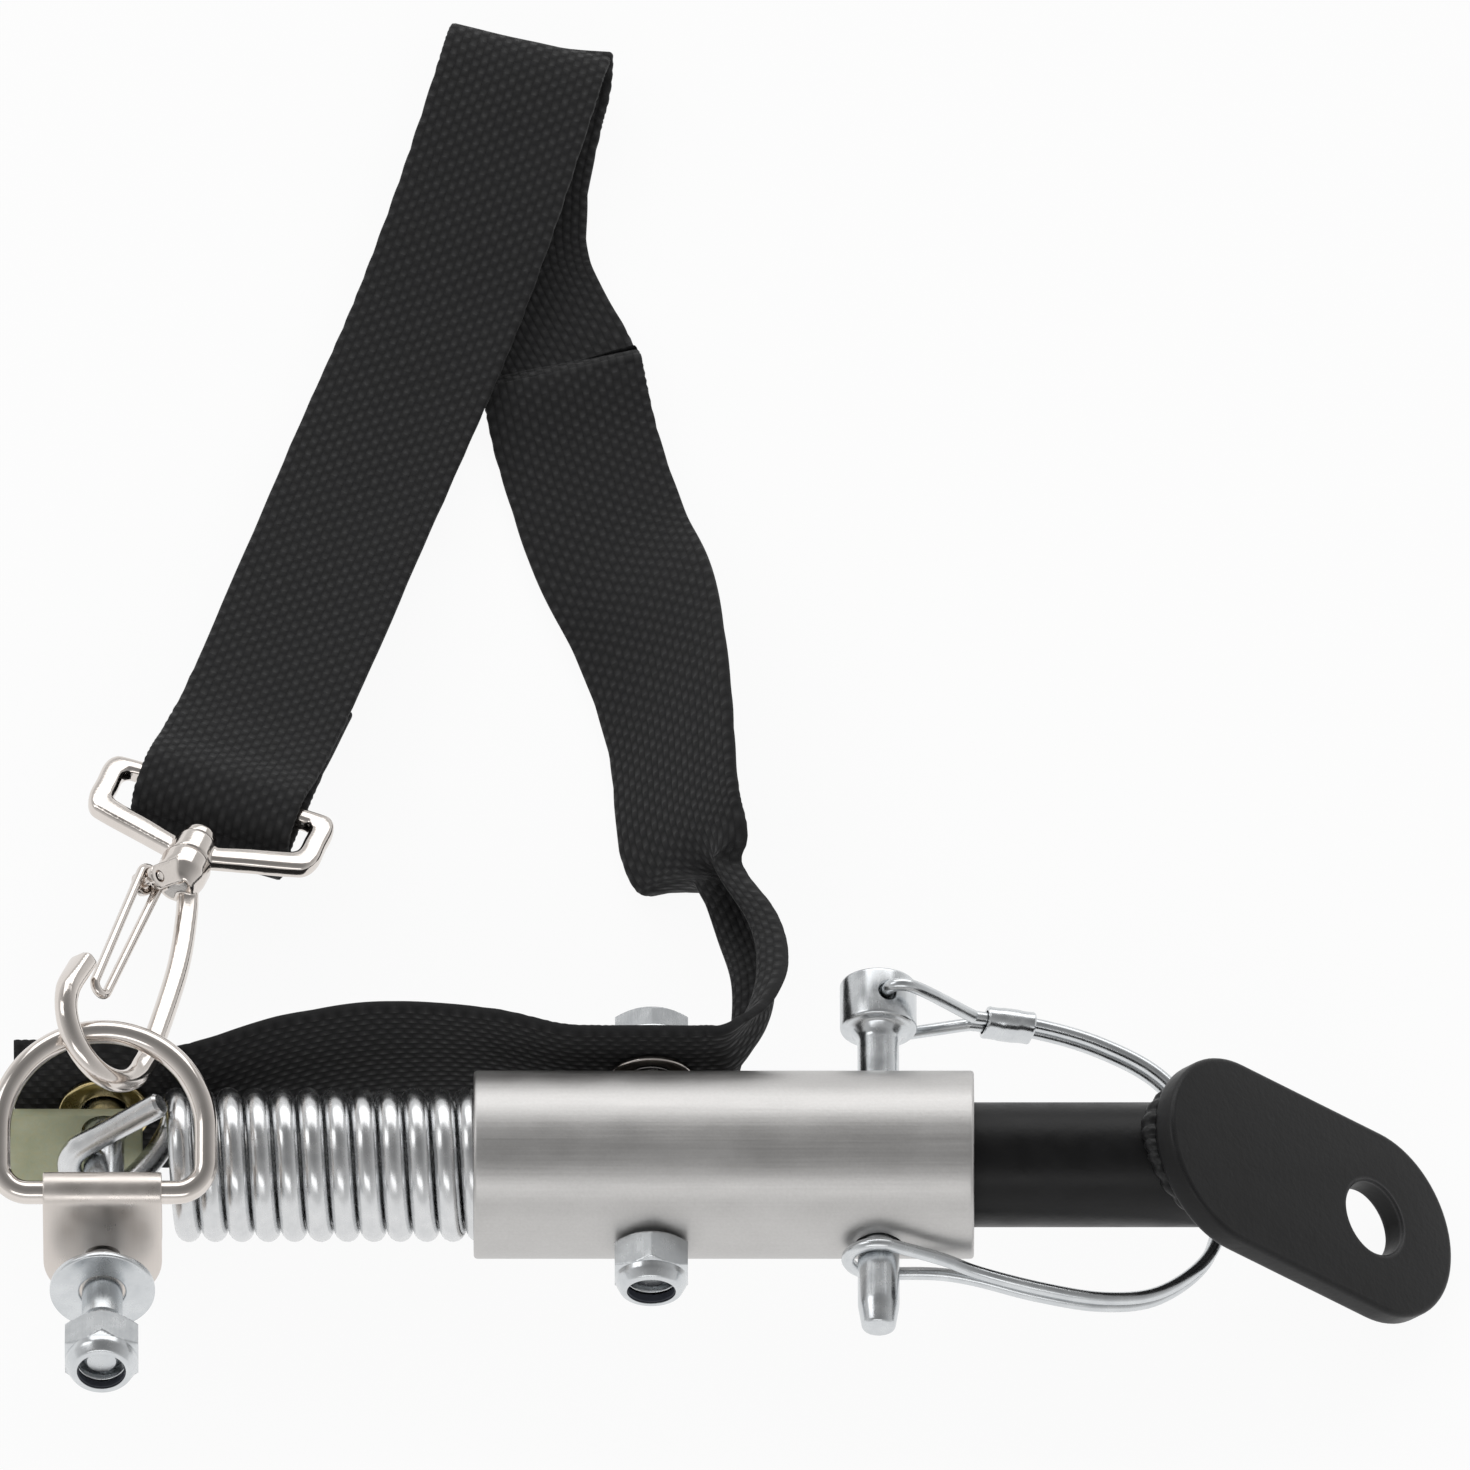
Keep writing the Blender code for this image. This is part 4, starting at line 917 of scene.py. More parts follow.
sleeve_nut_at = SLEEVE_RADIUS + GAP
sleeve_ends = (sleeve_nut_at - 4, sleeve_nut_at + NUT_CROWN - 1.0 - BOLT_RECESS, sleeve_nut_at)
tow_nut_at = TOW_BOLT_FRONT + 1.0 - NUT_CROWN
tow_ends = (tow_nut_at - 3.2, TOW_BOLT_FRONT - BOLT_RECESS, tow_nut_at)
stack("sleeve", SLEEVE_STRAP_BACK, 6.5, NICKEL, "nickel", sleeve_ends, "coupler", AT_SLEEVE_BOLT)
stack("tow", TOW_STRAP_BACK, 7.0, YELLOW_ZINC, "yellow_zinc", tow_ends, "tow_end", AT_TOW_BOLT)
tow_washer = washer("tow_face_washer", TOW_WASHER_FRONT, AT_TOW_BOLT)
fit(tow_washer, "tow_front_washer", "tow_end", "zinc", BOLT_ZINC, AT_TOW_BOLT)

# %% [markdown]
# ## Lock pin, wire bow and ferrule
#
# The pin is turned, with a cross-drilled head. One length of spring wire goes through the head,
# comes together in a crimped ferrule, and bows round the tube to loop over the pin's tip. The
# wire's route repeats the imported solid's points, with more steps between them. The crimp shows as
# two shallow bands.

# %% Lock pin
LOCK_TURN = 15
LOCK = turn(LOCK_TURN, "Y")
AT_PIN = LOCK @ TO_FRONT
PIN_HEAD_RADIUS = 5.85
PIN_HEAD_Y = 23.4
PIN_HEAD_LENGTH = 8.0
PIN_EYE_Y = PIN_HEAD_Y + PIN_HEAD_LENGTH / 2
PIN_TIP_Y = -28.6
WIRE_RADIUS = 1.0
head_back = -PIN_HEAD_Y - PIN_HEAD_LENGTH
pin_profile = [
    (1.0, head_back),
    (PIN_HEAD_RADIUS, head_back),
    (PIN_HEAD_RADIUS, -PIN_HEAD_Y),
    (PIN_RADIUS + 1.2, -PIN_HEAD_Y + 0.1),
    (PIN_RADIUS, -PIN_HEAD_Y + 1.7),
    (PIN_RADIUS, -PIN_TIP_Y - 4.0),
    (2.5, -PIN_TIP_Y),
    (1.0, -PIN_TIP_Y),
]
lock_pin = lathe("turned_lock_pin", rounded(pin_profile, 0.6), AT_PIN, 72)
at_eye = LOCK @ shift(0, PIN_EYE_Y, 0)
eye_drill = bore(WIRE_RADIUS + 0.4, -PIN_HEAD_RADIUS, PIN_HEAD_RADIUS, at_eye, 0.35)
cut(lock_pin, eye_drill)
fit(lock_pin, "lock_pin", "lock_pin", "zinc", BOLT_ZINC, AT_PIN)

# %% Lock wire and ferrule
STRAND = WIRE_RADIUS + GAP / 2
FERRULE_START = 16.8
FERRULE_END = 24.2
CRIMP_DEEP = 0.14
out = PIN_HEAD_RADIUS + WIRE_RADIUS
loop_y = -SLEEVE_RADIUS - 2 * WIRE_RADIUS - 0.1
loop = PIN_RADIUS + 0.5 + WIRE_RADIUS
strand = [
    (0, PIN_EYE_Y, 0),
    (0, PIN_EYE_Y, 3.2),
    (0, PIN_EYE_Y, out - 0.5),
    (1.0, PIN_EYE_Y, out + 0.9),
    (3.0, PIN_EYE_Y, out + 1.1),
    (6.5, PIN_EYE_Y, out - 0.6),
    (11.0, PIN_EYE_Y, 3.5),
    (14.3, PIN_EYE_Y, STRAND + 0.35),
    (FERRULE_START - 1.0, PIN_EYE_Y, STRAND),
    (FERRULE_END + 1.0, PIN_EYE_Y, STRAND),
    (35.0, PIN_EYE_Y - 1.8, STRAND),
    (44.0, PIN_EYE_Y - 5.8, STRAND),
    (50.5, PIN_EYE_Y - 13.2, STRAND),
    (53.5, 5.0, STRAND),
    (53.5, -4.0, STRAND),
    (50.5, -10.8, STRAND),
    (43.5, loop_y - 0.3, STRAND),
    (35.0, loop_y - 2.4, STRAND),
    (25.0, loop_y - 2.1, STRAND),
    (15.5, loop_y - 0.8, STRAND),
    (9.5, loop_y, 2.3),
]
for degrees in (65, 95, 125, 155, 180):
    angle = math.radians(degrees)
    strand.append((loop * math.cos(angle), loop_y, loop * math.sin(angle)))
upper = smooth(strand, 8)
lower = [Vector((p.x, p.y, -p.z)) for p in reversed(upper[1:-1])]
lock_wire = wire("sprung_lock_wire", upper + lower, WIRE_RADIUS, LOCK, closed=True)
fit(lock_wire, "lock_wire", "lock_pin", "zinc", BOLT_ZINC, LOCK)


def crimped_ferrule():
    wall = WIRE_RADIUS + GAP + 0.7
    points = []
    rows = 0
    count = 28
    steps = 14
    for inside, order in ((False, range(count + 1)), (True, (count, 0))):
        for index in order:
            share = index / count
            x = FERRULE_START + (FERRULE_END - FERRULE_START) * share
            press = 0.0
            if 0.02 < share < 0.98:
                press = CRIMP_DEEP * max(0.0, math.sin(share * math.tau * 1.5)) ** 0.6
            edge = 0.2 if index in (0, count) and not inside else 0.0
            radius = WIRE_RADIUS + GAP if inside else wall - press - edge
            outline = obround(STRAND + press * 0.4, radius, steps)
            points += [(x, PIN_EYE_Y + across, rise) for rise, across in outline]
            rows += 1
    return solid("crimped_ferrule", points, skin(rows, 2 * steps + 2, True), LOCK)


fit(crimped_ferrule(), "wire_ferrule", "lock_pin", "zinc", BOLT_ZINC, LOCK, sharp=28)

# %% [markdown]
# ## Spring
#
# The spring is close-wound wire with a hook eye bent round each bolt. The coil is a helix, the
# bend from the coil to the eye is a smooth curve between two directions, and the eye is an arc
# with a straight tail. The spring is left in place at rest and is not attached to either body; the
# ends of the bend where it leaves the sleeve, BEND_FROM and BEND_TO, are worked out but not used.
# The real curls touch, so the wire is drawn a little thicker than the imported solid's, with a hair of
# gap left.

# %% Spring
SPRING_WIRE = 3.5
SPRING_PITCH = 4.05
COIL_RADIUS = 9.85
EYE_REACH = 10.4
EYE_LEAN = math.radians(37)
EYE_RADIUS = BOLT_HOLE + SPRING_WIRE / 2
TOW_EYE_TAIL = 15.0
SLEEVE_EYE_TAIL = 4.0
POINTS_PER_CURL = 32
WIRE_SHOWN = 1.92


def eye_points(tail):
    """From the coil's end at the back, under the bolt, round it and up past it, with x from the bolt."""
    start = Vector((EYE_REACH, COIL_RADIUS, 0))
    start_pull = Vector((-SPRING_PITCH / math.tau, 0, -COIL_RADIUS)).normalized() * 14
    end = Vector((1.2, 0, -EYE_RADIUS))
    end_pull = Vector((-10, 0, 0))
    points = []
    steps = 20
    for step in range(1, steps):
        t = step / steps
        points.append(
            start * (2 * t**3 - 3 * t**2 + 1)
            + start_pull * (t**3 - 2 * t**2 + t)
            + end * (3 * t**2 - 2 * t**3)
            + end_pull * (t**3 - t**2)
        )
    points.append(end)
    leave = math.pi / 2 + EYE_LEAN
    bend_steps = 22
    for step in range(bend_steps + 1):
        angle = 1.5 * math.pi + (leave - 1.5 * math.pi) * step / bend_steps
        points.append(Vector((math.cos(angle), 0, math.sin(angle))) * EYE_RADIUS)
    tail_way = Vector((math.cos(EYE_LEAN), 0, math.sin(EYE_LEAN)))
    points += [points[-1] + tail_way * tail * share for share in (0.5, 1.0)]
    return points


def spring_path():
    left = TOW_BOLT_X + EYE_REACH
    right = SLEEVE_BOLT_X - EYE_REACH
    roll = math.radians(TOW_ROLL)
    curls = round((right - left) / SPRING_PITCH - 0.5) + 0.5
    sweep = curls * math.tau - roll
    count = round(sweep / math.tau * POINTS_PER_CURL)
    coil = []
    for step in range(count + 1):
        angle = math.pi + roll + sweep * step / count
        x = left + (right - left) * step / count
        coil.append(Vector((x, -COIL_RADIUS * math.cos(angle), -COIL_RADIUS * math.sin(angle))))
    tow_eye = [TOW @ p for p in eye_points(TOW_EYE_TAIL)]
    at_sleeve = shift(SLEEVE_BOLT_X, 0, 0) @ turn(180, "Z")
    sleeve_eye = [at_sleeve @ p for p in eye_points(SLEEVE_EYE_TAIL)]
    return [*reversed(tow_eye), *coil, *sleeve_eye]


BEND_FROM = world(HERE, (-61.0, 0, 0))
BEND_TO = world(HERE, (-92.0, 0, 0))
spring = wire("coil_spring", spring_path(), WIRE_SHOWN, HERE, sides=18, blunt=0.5)
dress(spring, BRIGHT_WIRE, HERE)
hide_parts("spring")
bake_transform(spring)
print("spring", len(spring.data.polygons), "faces")

# %% [markdown]
# ## What hangs on the tow bolt
#
# Behind the spring's eye lies a small pale sheet. In front of it a strip of metal is folded round
# the straight side of the D-ring, and both its leaves are bolted through. A strip is a loft with a
# flat section, so its edges come out rounded like a stamped and tumbled part.

# %% Olive tab
TAB_SIZE = (21.8, 16.4, 1.5)
TAB_BACK = 7.0
TAB_OFFSET = (-5.1, -4.6)


def olive_tab():
    wide, high, thick = TAB_SIZE
    corner = 0.5
    outline = rounded(
        [
            (TAB_OFFSET[0] + side * wide / 2, TAB_OFFSET[1] + rise * high / 2)
            for side, rise in ((-1, -1), (1, -1), (1, 1), (-1, 1))
        ],
        corner,
        True,
    )
    middle = Vector(TAB_OFFSET)
    points = []
    for inset, y in ((0.2, 0), (0, 0.2), (0, thick - 0.2), (0.2, thick)):
        for spot in outline:
            near = Vector(spot) + (middle - Vector(spot)).normalized() * inset
            points.append((near.x, TAB_BACK + y, near.y))
    return solid("pale_sheet_tab", points, skin(4, len(outline), False), TOW)


tab = olive_tab()
cut(tab, lathe("drill", [(BOLT_HOLE, -12), (BOLT_HOLE, -4)], AT_TOW_BOLT, 48))
fit(tab, "olive_tab", "tow_end", "olive", OLIVE, TOW)

# %% Ring clip
RING_RADIUS = 1.8
CLIP_THICK = 1.0
CLIP_HALF = 9.0
CLIP_FRONT = 17.5
CLIP_RISE = 11.8
CLIP_SQUARE = 12
CLIP_FOLD = RING_RADIUS + GAP + CLIP_THICK / 2


def clip_stations():
    leaf = []
    for step in range(17):
        level = -0.985 + 0.985 * step / 16
        leaf.append((level * CLIP_HALF, CLIP_HALF * math.sqrt(1 - level**2)))
    leaf += [(CLIP_RISE * share, CLIP_HALF) for share in (0.2, 0.4, 0.6, 0.8)]
    path = [(-CLIP_FOLD, rise, half) for rise, half in leaf]
    for step in range(25):
        angle = math.pi * (1 - step / 24)
        rise = CLIP_RISE + CLIP_FOLD * math.sin(angle)
        path.append((CLIP_FOLD * math.cos(angle), rise, CLIP_HALF))
    path += [(CLIP_FOLD, rise, half) for rise, half in reversed(leaf)]
    centres = [Vector((0, y - CLIP_FRONT, z)) for y, z, half in path]
    side = Vector((1, 0, 0))
    heads = headings(centres, False)
    halves = [half for y, z, half in path]
    stations = []
    for centre, head, half in zip(centres, heads, halves):
        stations.append((centre, side, head.cross(side), half, CLIP_THICK / 2, CLIP_SQUARE))
    return stations


clip = loft("folded_ring_clip", clip_stations(), TOW, 40)
clip.data.attributes.remove(clip.data.attributes["local"])
cut(clip, lathe("drill", [(BOLT_HOLE, 10), (BOLT_HOLE, 25)], AT_TOW_BOLT, 48))
fit(clip, "ring_clip", "tow_end", "nickel", TUMBLED_NICKEL, TOW)

# %% D-ring
RING_HALF = 15.7
RING_CORNER = 4.5
RING_LENGTH = 29.0
RING_LEAN = -62
RING_CROWN = RING_LENGTH - 2 * RING_RADIUS - RING_HALF
RING = TOW @ shift(0, -CLIP_FRONT, CLIP_RISE) @ turn(RING_LEAN, "X")


def ring_path():
    """Straight bar, two small corners and a half circle."""
    points = []
    for start, span, centre, radius, steps in (
        (-90, 90, (RING_HALF - RING_CORNER, RING_CORNER), RING_CORNER, 14),
        (0, 180, (0, RING_CROWN), RING_HALF, 64),
        (180, 90, (RING_CORNER - RING_HALF, RING_CORNER), RING_CORNER, 14),
    ):
        for step in range(steps + 1):
            angle = math.radians(start + span * step / steps)
            x = centre[0] + radius * math.cos(angle)
            z = centre[1] + radius * math.sin(angle)
            points.append((x, 0, z))
    last = Vector(points[-1])
    bar = [last.lerp(Vector(points[0]), step / 12) for step in range(1, 12)]
    kept = [Vector(points[0])]
    for point in [*points[1:], *bar]:
        if (Vector(point) - kept[-1]).length > 0.05:
            kept.append(Vector(point))
    return kept


d_ring = wire("bent_d_ring", ring_path(), RING_RADIUS, RING, closed=True, sides=24)
fit(d_ring, "d_ring", "d_ring", "nickel", NICKEL, RING)

# %% [markdown]
# ## Snap hook
#
# A swivel snap hook is a zinc casting, plated with nickel. Castings have no sharp inner corners,
# so overlapping solids are melted together: the flat frame with its hub, and the hook with its
# collar and the two ears that hold the gate. The leg is ridged, the bend is round, and the bill
# ends in a flat lip that the wire gate points at.

# %% Snap hook places
SWIVEL_AT = Vector((TOW_BOLT_X + 12.3, 47.5, 8.5))
HOOK_ROLL = 45
ring_top = RING @ Vector((0, 0, RING_CROWN + RING_HALF))
to_strap = (SWIVEL_AT - ring_top).normalized()
hook_reach = (SWIVEL_AT - ring_top).length
hook_across = to_strap.cross(Vector((0, 0, 1))).normalized()
hook_turn = Matrix((hook_across, to_strap, hook_across.cross(to_strap))).transposed().to_4x4()
SNAP = Matrix.Translation(SWIVEL_AT) @ hook_turn
SWIVEL = SNAP @ turn(HOOK_ROLL, "Y")
print("hook reach:", round(hook_reach, 1))

# %% Strap frame
FRAME_HALF_THICK = 1.5
FRAME_SQUARE = 3.2
HUB_RADIUS = 3.4
HUB_LOW = 1.0
HUB_HIGH = 5.2
RIVET_HOLE = 2.0
FRAME_EDGES = [
    ((0, 1.3), (0, 4.9)),
    ((2.6, 1.3), (2.6, 4.9)),
    ((5.0, 1.9), (4.4, 5.4)),
    ((9.0, 3.1), (8.0, 6.8)),
    ((15.3, 5.0), (13.0, 8.4)),
    ((17.5, 6.1), (14.5, 9.2)),
    ((18.5, 8.7), (14.9, 10.4)),
    ((18.5, 12.4), (14.9, 12.4)),
    ((18.5, 16.0), (14.9, 14.6)),
    ((17.7, 18.0), (14.3, 15.6)),
    ((15.9, 18.6), (13.5, 15.8)),
    ((8.0, 18.6), (8.0, 15.8)),
]


def frame_band():
    right = [(*outer, *inner) for outer, inner in FRAME_EDGES]
    top = (0, 18.6, 0, 15.8)
    left = [(-ox, oy, -ix, iy) for ox, oy, ix, iy in reversed(right[1:])]
    stations = []
    for spot in smooth([*right, top, *left, right[0]], 8)[:-1]:
        outer = Vector((spot[0], spot[1], 0))
        inner = Vector((spot[2], spot[3], 0))
        wide = (outer - inner).length / 2
        side = (outer - inner).normalized()
        middle = (outer + inner) / 2
        stations.append((middle, side, Vector((0, 0, 1)), wide, FRAME_HALF_THICK, FRAME_SQUARE))
    return loft("cast_strap_frame", stations, SNAP, 20, True)


hub_rows = [(1.0, HUB_LOW), (HUB_RADIUS, HUB_LOW), (HUB_RADIUS, HUB_HIGH), (1.0, HUB_HIGH)]
hub = lathe("hub", rounded(hub_rows, 0.5), SNAP @ TO_BACK, 48)
strap_frame = frame_band()
cast(strap_frame, hub)
hub_hole = [(RIVET_HOLE, HUB_LOW - 1), (RIVET_HOLE, HUB_HIGH + 1)]
cut(strap_frame, lathe("drill", hub_hole, SNAP @ TO_BACK, 40))
fit(strap_frame, "strap_frame", "tow_end", "nickel", NICKEL, SNAP, sharp=60)

# %% Hook body
HOOK_RADIUS = 9.0
HOOK_WIRE = 1.75
HOOK_PAST_RING = -1.7
HOOK_BILL = 5.5
COLLAR_TOP = HUB_LOW - 0.5
COLLAR_RADIUS = 4.0
COLLAR_LENGTH = 6.0
GATE_PIVOT = Vector((-4.6, -9.0, 0))
GATE_WIRE = 0.75
EAR_THICK = 1.1
PIVOT_HOLE = 1.0
bend_y = -hook_reach - HOOK_PAST_RING


def hook_leg():
    keys = [(2.0, -3.0, 0), (4.2, -8.0, 0), (7.0, -18.0, 0), (HOOK_RADIUS, bend_y + 5.0, 0)]
    for step in range(13):
        angle = -math.pi * step / 12
        keys.append((HOOK_RADIUS * math.cos(angle), bend_y + HOOK_RADIUS * math.sin(angle), 0))
    keys.append((-HOOK_RADIUS + 0.4, bend_y + HOOK_BILL, 0))
    path = smooth(keys, 8)
    stations = []
    for index, (point, head) in enumerate(zip(path, headings(path, False))):
        share = index / (len(path) - 1)
        ridged = max(0.0, 1 - share * 2.6)
        lip = max(0.0, (share - 0.8) / 0.2) ** 2
        wide = HOOK_WIRE * (1 + 0.14 * ridged - 0.12 * lip)
        high = HOOK_WIRE * (1 + 0.1 * ridged + 0.3 * lip)
        square = 2 - 0.6 * ridged + 1.5 * lip
        across = head.cross(Vector((0, 0, 1)))
        stations.append((point, across, Vector((0, 0, 1)), wide, high, square))
    return loft("cast_hook", stations, SWIVEL, 32)


def gate_ear(low):
    root = Vector((-1.6, -3.6, 0))
    lean = math.degrees(math.atan2(GATE_PIVOT.y - root.y, GATE_PIVOT.x - root.x))
    middle = (GATE_PIVOT + root) / 2
    outline = obround((GATE_PIVOT - root).length / 2, 1.9, 12)
    points = [(x, y, low) for x, y in outline] + [(x, y, low + EAR_THICK) for x, y in outline]
    place = SWIVEL @ Matrix.Translation(middle) @ turn(lean, "Z")
    return solid("ear", points, skin(2, len(outline), False), place)


collar_rows = [
    (1.0, COLLAR_TOP - COLLAR_LENGTH),
    (COLLAR_RADIUS - 1.2, COLLAR_TOP - COLLAR_LENGTH),
    (COLLAR_RADIUS - 0.1, COLLAR_TOP - 3.2),
    (COLLAR_RADIUS, COLLAR_TOP),
    (1.0, COLLAR_TOP),
]
collar = lathe("collar", rounded(collar_rows, 0.6), SWIVEL @ TO_BACK, 48)
ear_inside = GATE_WIRE + GAP
hook_body = hook_leg()
cast(hook_body, collar, gate_ear(ear_inside), gate_ear(-ear_inside - EAR_THICK), voxel=0.2, rounds=4)
ear_reach = ear_inside + EAR_THICK + 1
AT_PIVOT = SWIVEL @ Matrix.Translation(GATE_PIVOT)
pivot_hole = [(PIVOT_HOLE, -ear_reach), (PIVOT_HOLE, ear_reach)]
pivot_drill = lathe("drill", pivot_hole, AT_PIVOT, 32)
collar_hole = [(RIVET_HOLE, COLLAR_TOP - 4.0), (RIVET_HOLE, COLLAR_TOP + 1)]
rivet_drill = lathe("drill", collar_hole, SWIVEL @ TO_BACK, 40)
cut(hook_body, rivet_drill, pivot_drill)
fit(hook_body, "hook_body", "snap_hook", "nickel", NICKEL, SWIVEL, sharp=60)

# %% Rivet, gate pin and wire gate
RIVET_RADIUS = 1.6
KNOB_RADIUS = 2.7
KNOB_LENGTH = 1.9
knob_low = HUB_HIGH + GAP
rivet_rows = [
    (0.5, COLLAR_TOP - 3.6),
    (RIVET_RADIUS, COLLAR_TOP - 3.6),
    (RIVET_RADIUS, knob_low),
    (KNOB_RADIUS, knob_low),
    (KNOB_RADIUS, knob_low + KNOB_LENGTH),
    (0.5, knob_low + KNOB_LENGTH),
]
rivet = lathe("domed_rivet", rounded(rivet_rows, 0.8, steps=6), SWIVEL @ TO_BACK, 48)
fit(rivet, "swivel_rivet", "snap_hook", "nickel", NICKEL, SWIVEL @ TO_BACK)

pin_half = ear_inside + EAR_THICK + GAP
pin_rows = rounded([(0.2, -pin_half), (0.7, -pin_half), (0.7, pin_half), (0.2, pin_half)], 0.3)
gate_pin = lathe("gate_rivet", pin_rows, AT_PIVOT, 28)
fit(gate_pin, "gate_pin", "snap_hook", "nickel", NICKEL, AT_PIVOT)

GATE_LENGTH = 25.0
GATE_LEAN = 0.7
gate_path = []
for centre, half, start in (((0, 0), 2.0, 0), ((GATE_LEAN, -GATE_LENGTH), 1.4, 180)):
    for step in range(17):
        angle = math.radians(start + 180 * step / 16)
        x = centre[0] + half * math.cos(angle)
        y = centre[1] + half * math.sin(angle)
        gate_path.append((x, y, 0))
gate = wire("wire_gate", gate_path, GATE_WIRE, AT_PIVOT, closed=True, sides=14)
fit(gate, "snap_gate", "snap_gate", "nickel", NICKEL, AT_PIVOT)

# %% [markdown]
# ## Safety strap
#
# The strap is one length of flat webbing: bolted at both bolts, twisted off the sleeve, laid on
# the table, folded back and sewn round the frame of the hook. It is modelled directly, as a
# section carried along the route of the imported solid, because a simulation would lose the exact
# places of the bolts. Each key is a place, the direction across the strap, and how far its width
# is gathered into pleats, as it is where it twists off the sleeve. The selvedges are rounded and
# slightly toothed by the weft.

# %% Strap route
STRAP_HALF = 12.5
STRAP_SLACK = 5.2
STRAP_END_PAST_BOLT = 13.7
TOW_RAISE = 1.0
UPRIGHT = Vector((0, 0, 1))
tow_turn = TOW.to_3x3()
tow_up = tow_turn @ UPRIGHT
plate_foot = plate_back + plate_along * (PLATE_LENGTH - PLATE_HEEL)
tow_edge = (tow_turn @ Vector((0, TOW_STRAP_BACK, TOW_RAISE - STRAP_HALF))).z - GAP
tow_edge_x = TOW_BOLT_X - STRAP_END_PAST_BOLT
FLOOR_SLOPE = (plate_foot.z - tow_edge) / (plate_foot.x - tow_edge_x)
FLAT = 0.75 * STRAP_THICK
strap_keys = []


def key(point, across, gather=0.0):
    strap_keys.append((*point, *Vector(across).normalized(), gather))


def floor_at(x, height):
    return tow_edge + FLOOR_SLOPE * (x - tow_edge_x) + height


for off, lift, sag in (
    (-STRAP_END_PAST_BOLT, 0, 0),
    (-8.0, 0, 0),
    (0, 0, 0),
    (8.5, 0, 1.5),
    (14.0, 0.7, 1.1),
):
    key(TOW @ Vector((off, TOW_STRAP_BACK + lift, TOW_RAISE - sag)), tow_up)
leave = Vector(strap_keys[-1][:3])
arrive = Vector((SLEEVE_BOLT_X - 14.0, SLEEVE_STRAP_BACK + 0.4, 0))
for share in (0.25, 0.52, 0.8):
    bow = Vector((0, 4 * share * (1 - share) * STRAP_SLACK, 0))
    key(leave.lerp(arrive, share) + bow, tow_up.lerp(UPRIGHT, share))
key(arrive, UPRIGHT)
for off, lift, gather in ((-8.0, 0, 0), (0, 0, 0), (8.0, 0, 0), (12.0, 0.9, 0.15)):
    key((SLEEVE_BOLT_X + off, SLEEVE_STRAP_BACK + lift, 0), UPRIGHT, gather)
for x, y, z, edge, gather in (
    (14.8, 7.3, -1.5, (0.25, -0.15, 1), 0.5),
    (15.1, 16.3, -5.0, (0.5, -0.1, 0.85), 0.75),
    (13.1, 26.8, -9.5, (0.62, 0.05, 0.78), 0.8),
):
    key((SLEEVE_BOLT_X + x, SLEEVE_STRAP_BACK + y, z), edge, gather)
for x, y, height, edge, rise, gather in (
    (8.1, 37.8, 10.6, 0.25, 1.1, 1.0),
    (6.2, 43.5, 10.5, 0.2, 1.1, 0.2),
    (4.1, 51.3, 10.2, 0.15, 1.1, 0),
    (2.5, 70.3, 9.8, 0.15, 1.0, 0),
    (-1.2, 88.3, 7.4, 0.25, 0.62, 0),
    (-6.6, 103.3, 3.6, 0.3, 0.22, 0),
    (-11.4, 120.3, 2.4, 0.26, 0.14, 0),
    (-13.6, 130.5, 4.0, 0.26, 0.14, 0),
    (-14.0, 132.6, 3.9, 0.26, 0.12, 0),
    (-14.4, 134.2, 2.4, 0.26, 0.06, 0),
    (-15.2, 136.6, FLAT, 0.25, 0, 0),
):
    x += SLEEVE_BOLT_X
    key((x, SLEEVE_STRAP_BACK + y, floor_at(x, height)), (1, edge, rise + FLOOR_SLOPE), gather)
for x, y, height, edge in (
    (-21.8, 151.3, FLAT, 0.2),
    (-22.5, 166.3, FLAT, 0.0),
    (-20.3, 180.3, FLAT, -0.15),
    (-18.9, 186.5, 1.9, -0.17),
    (-18.7, 189.9, 5.2, -0.2),
    (-19.5, 186.7, 8.6, -0.24),
    (-21.9, 177.3, 9.4, -0.3),
    (-27.5, 158.3, 7.6, -0.34),
    (-34.2, 138.3, 5.8, -0.36),
    (-42.9, 114.3, 6.6, -0.36),
):
    x += SLEEVE_BOLT_X
    key((x, SLEEVE_STRAP_BACK + y, floor_at(x, height)), (1, edge, FLOOR_SLOPE))

FRAME_ARM = 7.4
FRAME_DEPTH = 17.2
over_bar = FRAME_HALF_THICK + GAP + STRAP_THICK / 2
ply = STRAP_THICK / 2 + GAP / 2 + 0.1
under_knob = -KNOB_RADIUS - GAP - STRAP_THICK / 2 - 0.2
for y, z in (
    (44.0, ply),
    (28.0, ply),
    (FRAME_DEPTH + 4.0, over_bar - 0.1),
    (FRAME_DEPTH, over_bar + 0.1),
    (FRAME_DEPTH - 4.2, 0.6),
    (FRAME_ARM + 5.0, under_knob + 1.2),
    (FRAME_ARM + 3.8, under_knob + 0.2),
    (FRAME_ARM + 2.7, under_knob - 1.2),
    (FRAME_ARM + 3.6, under_knob - 2.6),
    (FRAME_ARM + 5.4, under_knob - 2.5),
    (FRAME_DEPTH - 2.0, -over_bar - 1.2),
    (FRAME_DEPTH + 3.0, -over_bar),
    (28.0, -ply),
    (44.0, -ply),
):
    key(SNAP @ Vector((0, y, z)), hook_across)
print("strap keys:", len(strap_keys))

# %% Strap mesh
TOOTH = 0.16
ON_TABLE = 0.1
RIM = [(12.0, 0.8), (12.3, 0.68), (12.48, 0.34), (12.5, 0.0)]
FACE = [1.5 * step for step in range(7, -8, -1)]
GATHER_NARROW = 0.7
GATHER_TO = 5.0
PLEAT_DEEP = 2.6
PLEAT_LONG = 15.0
SELVEDGE = 12.2
RIPPLE = 0.22
CALM_FROM = 14
CALM_OVER = 20


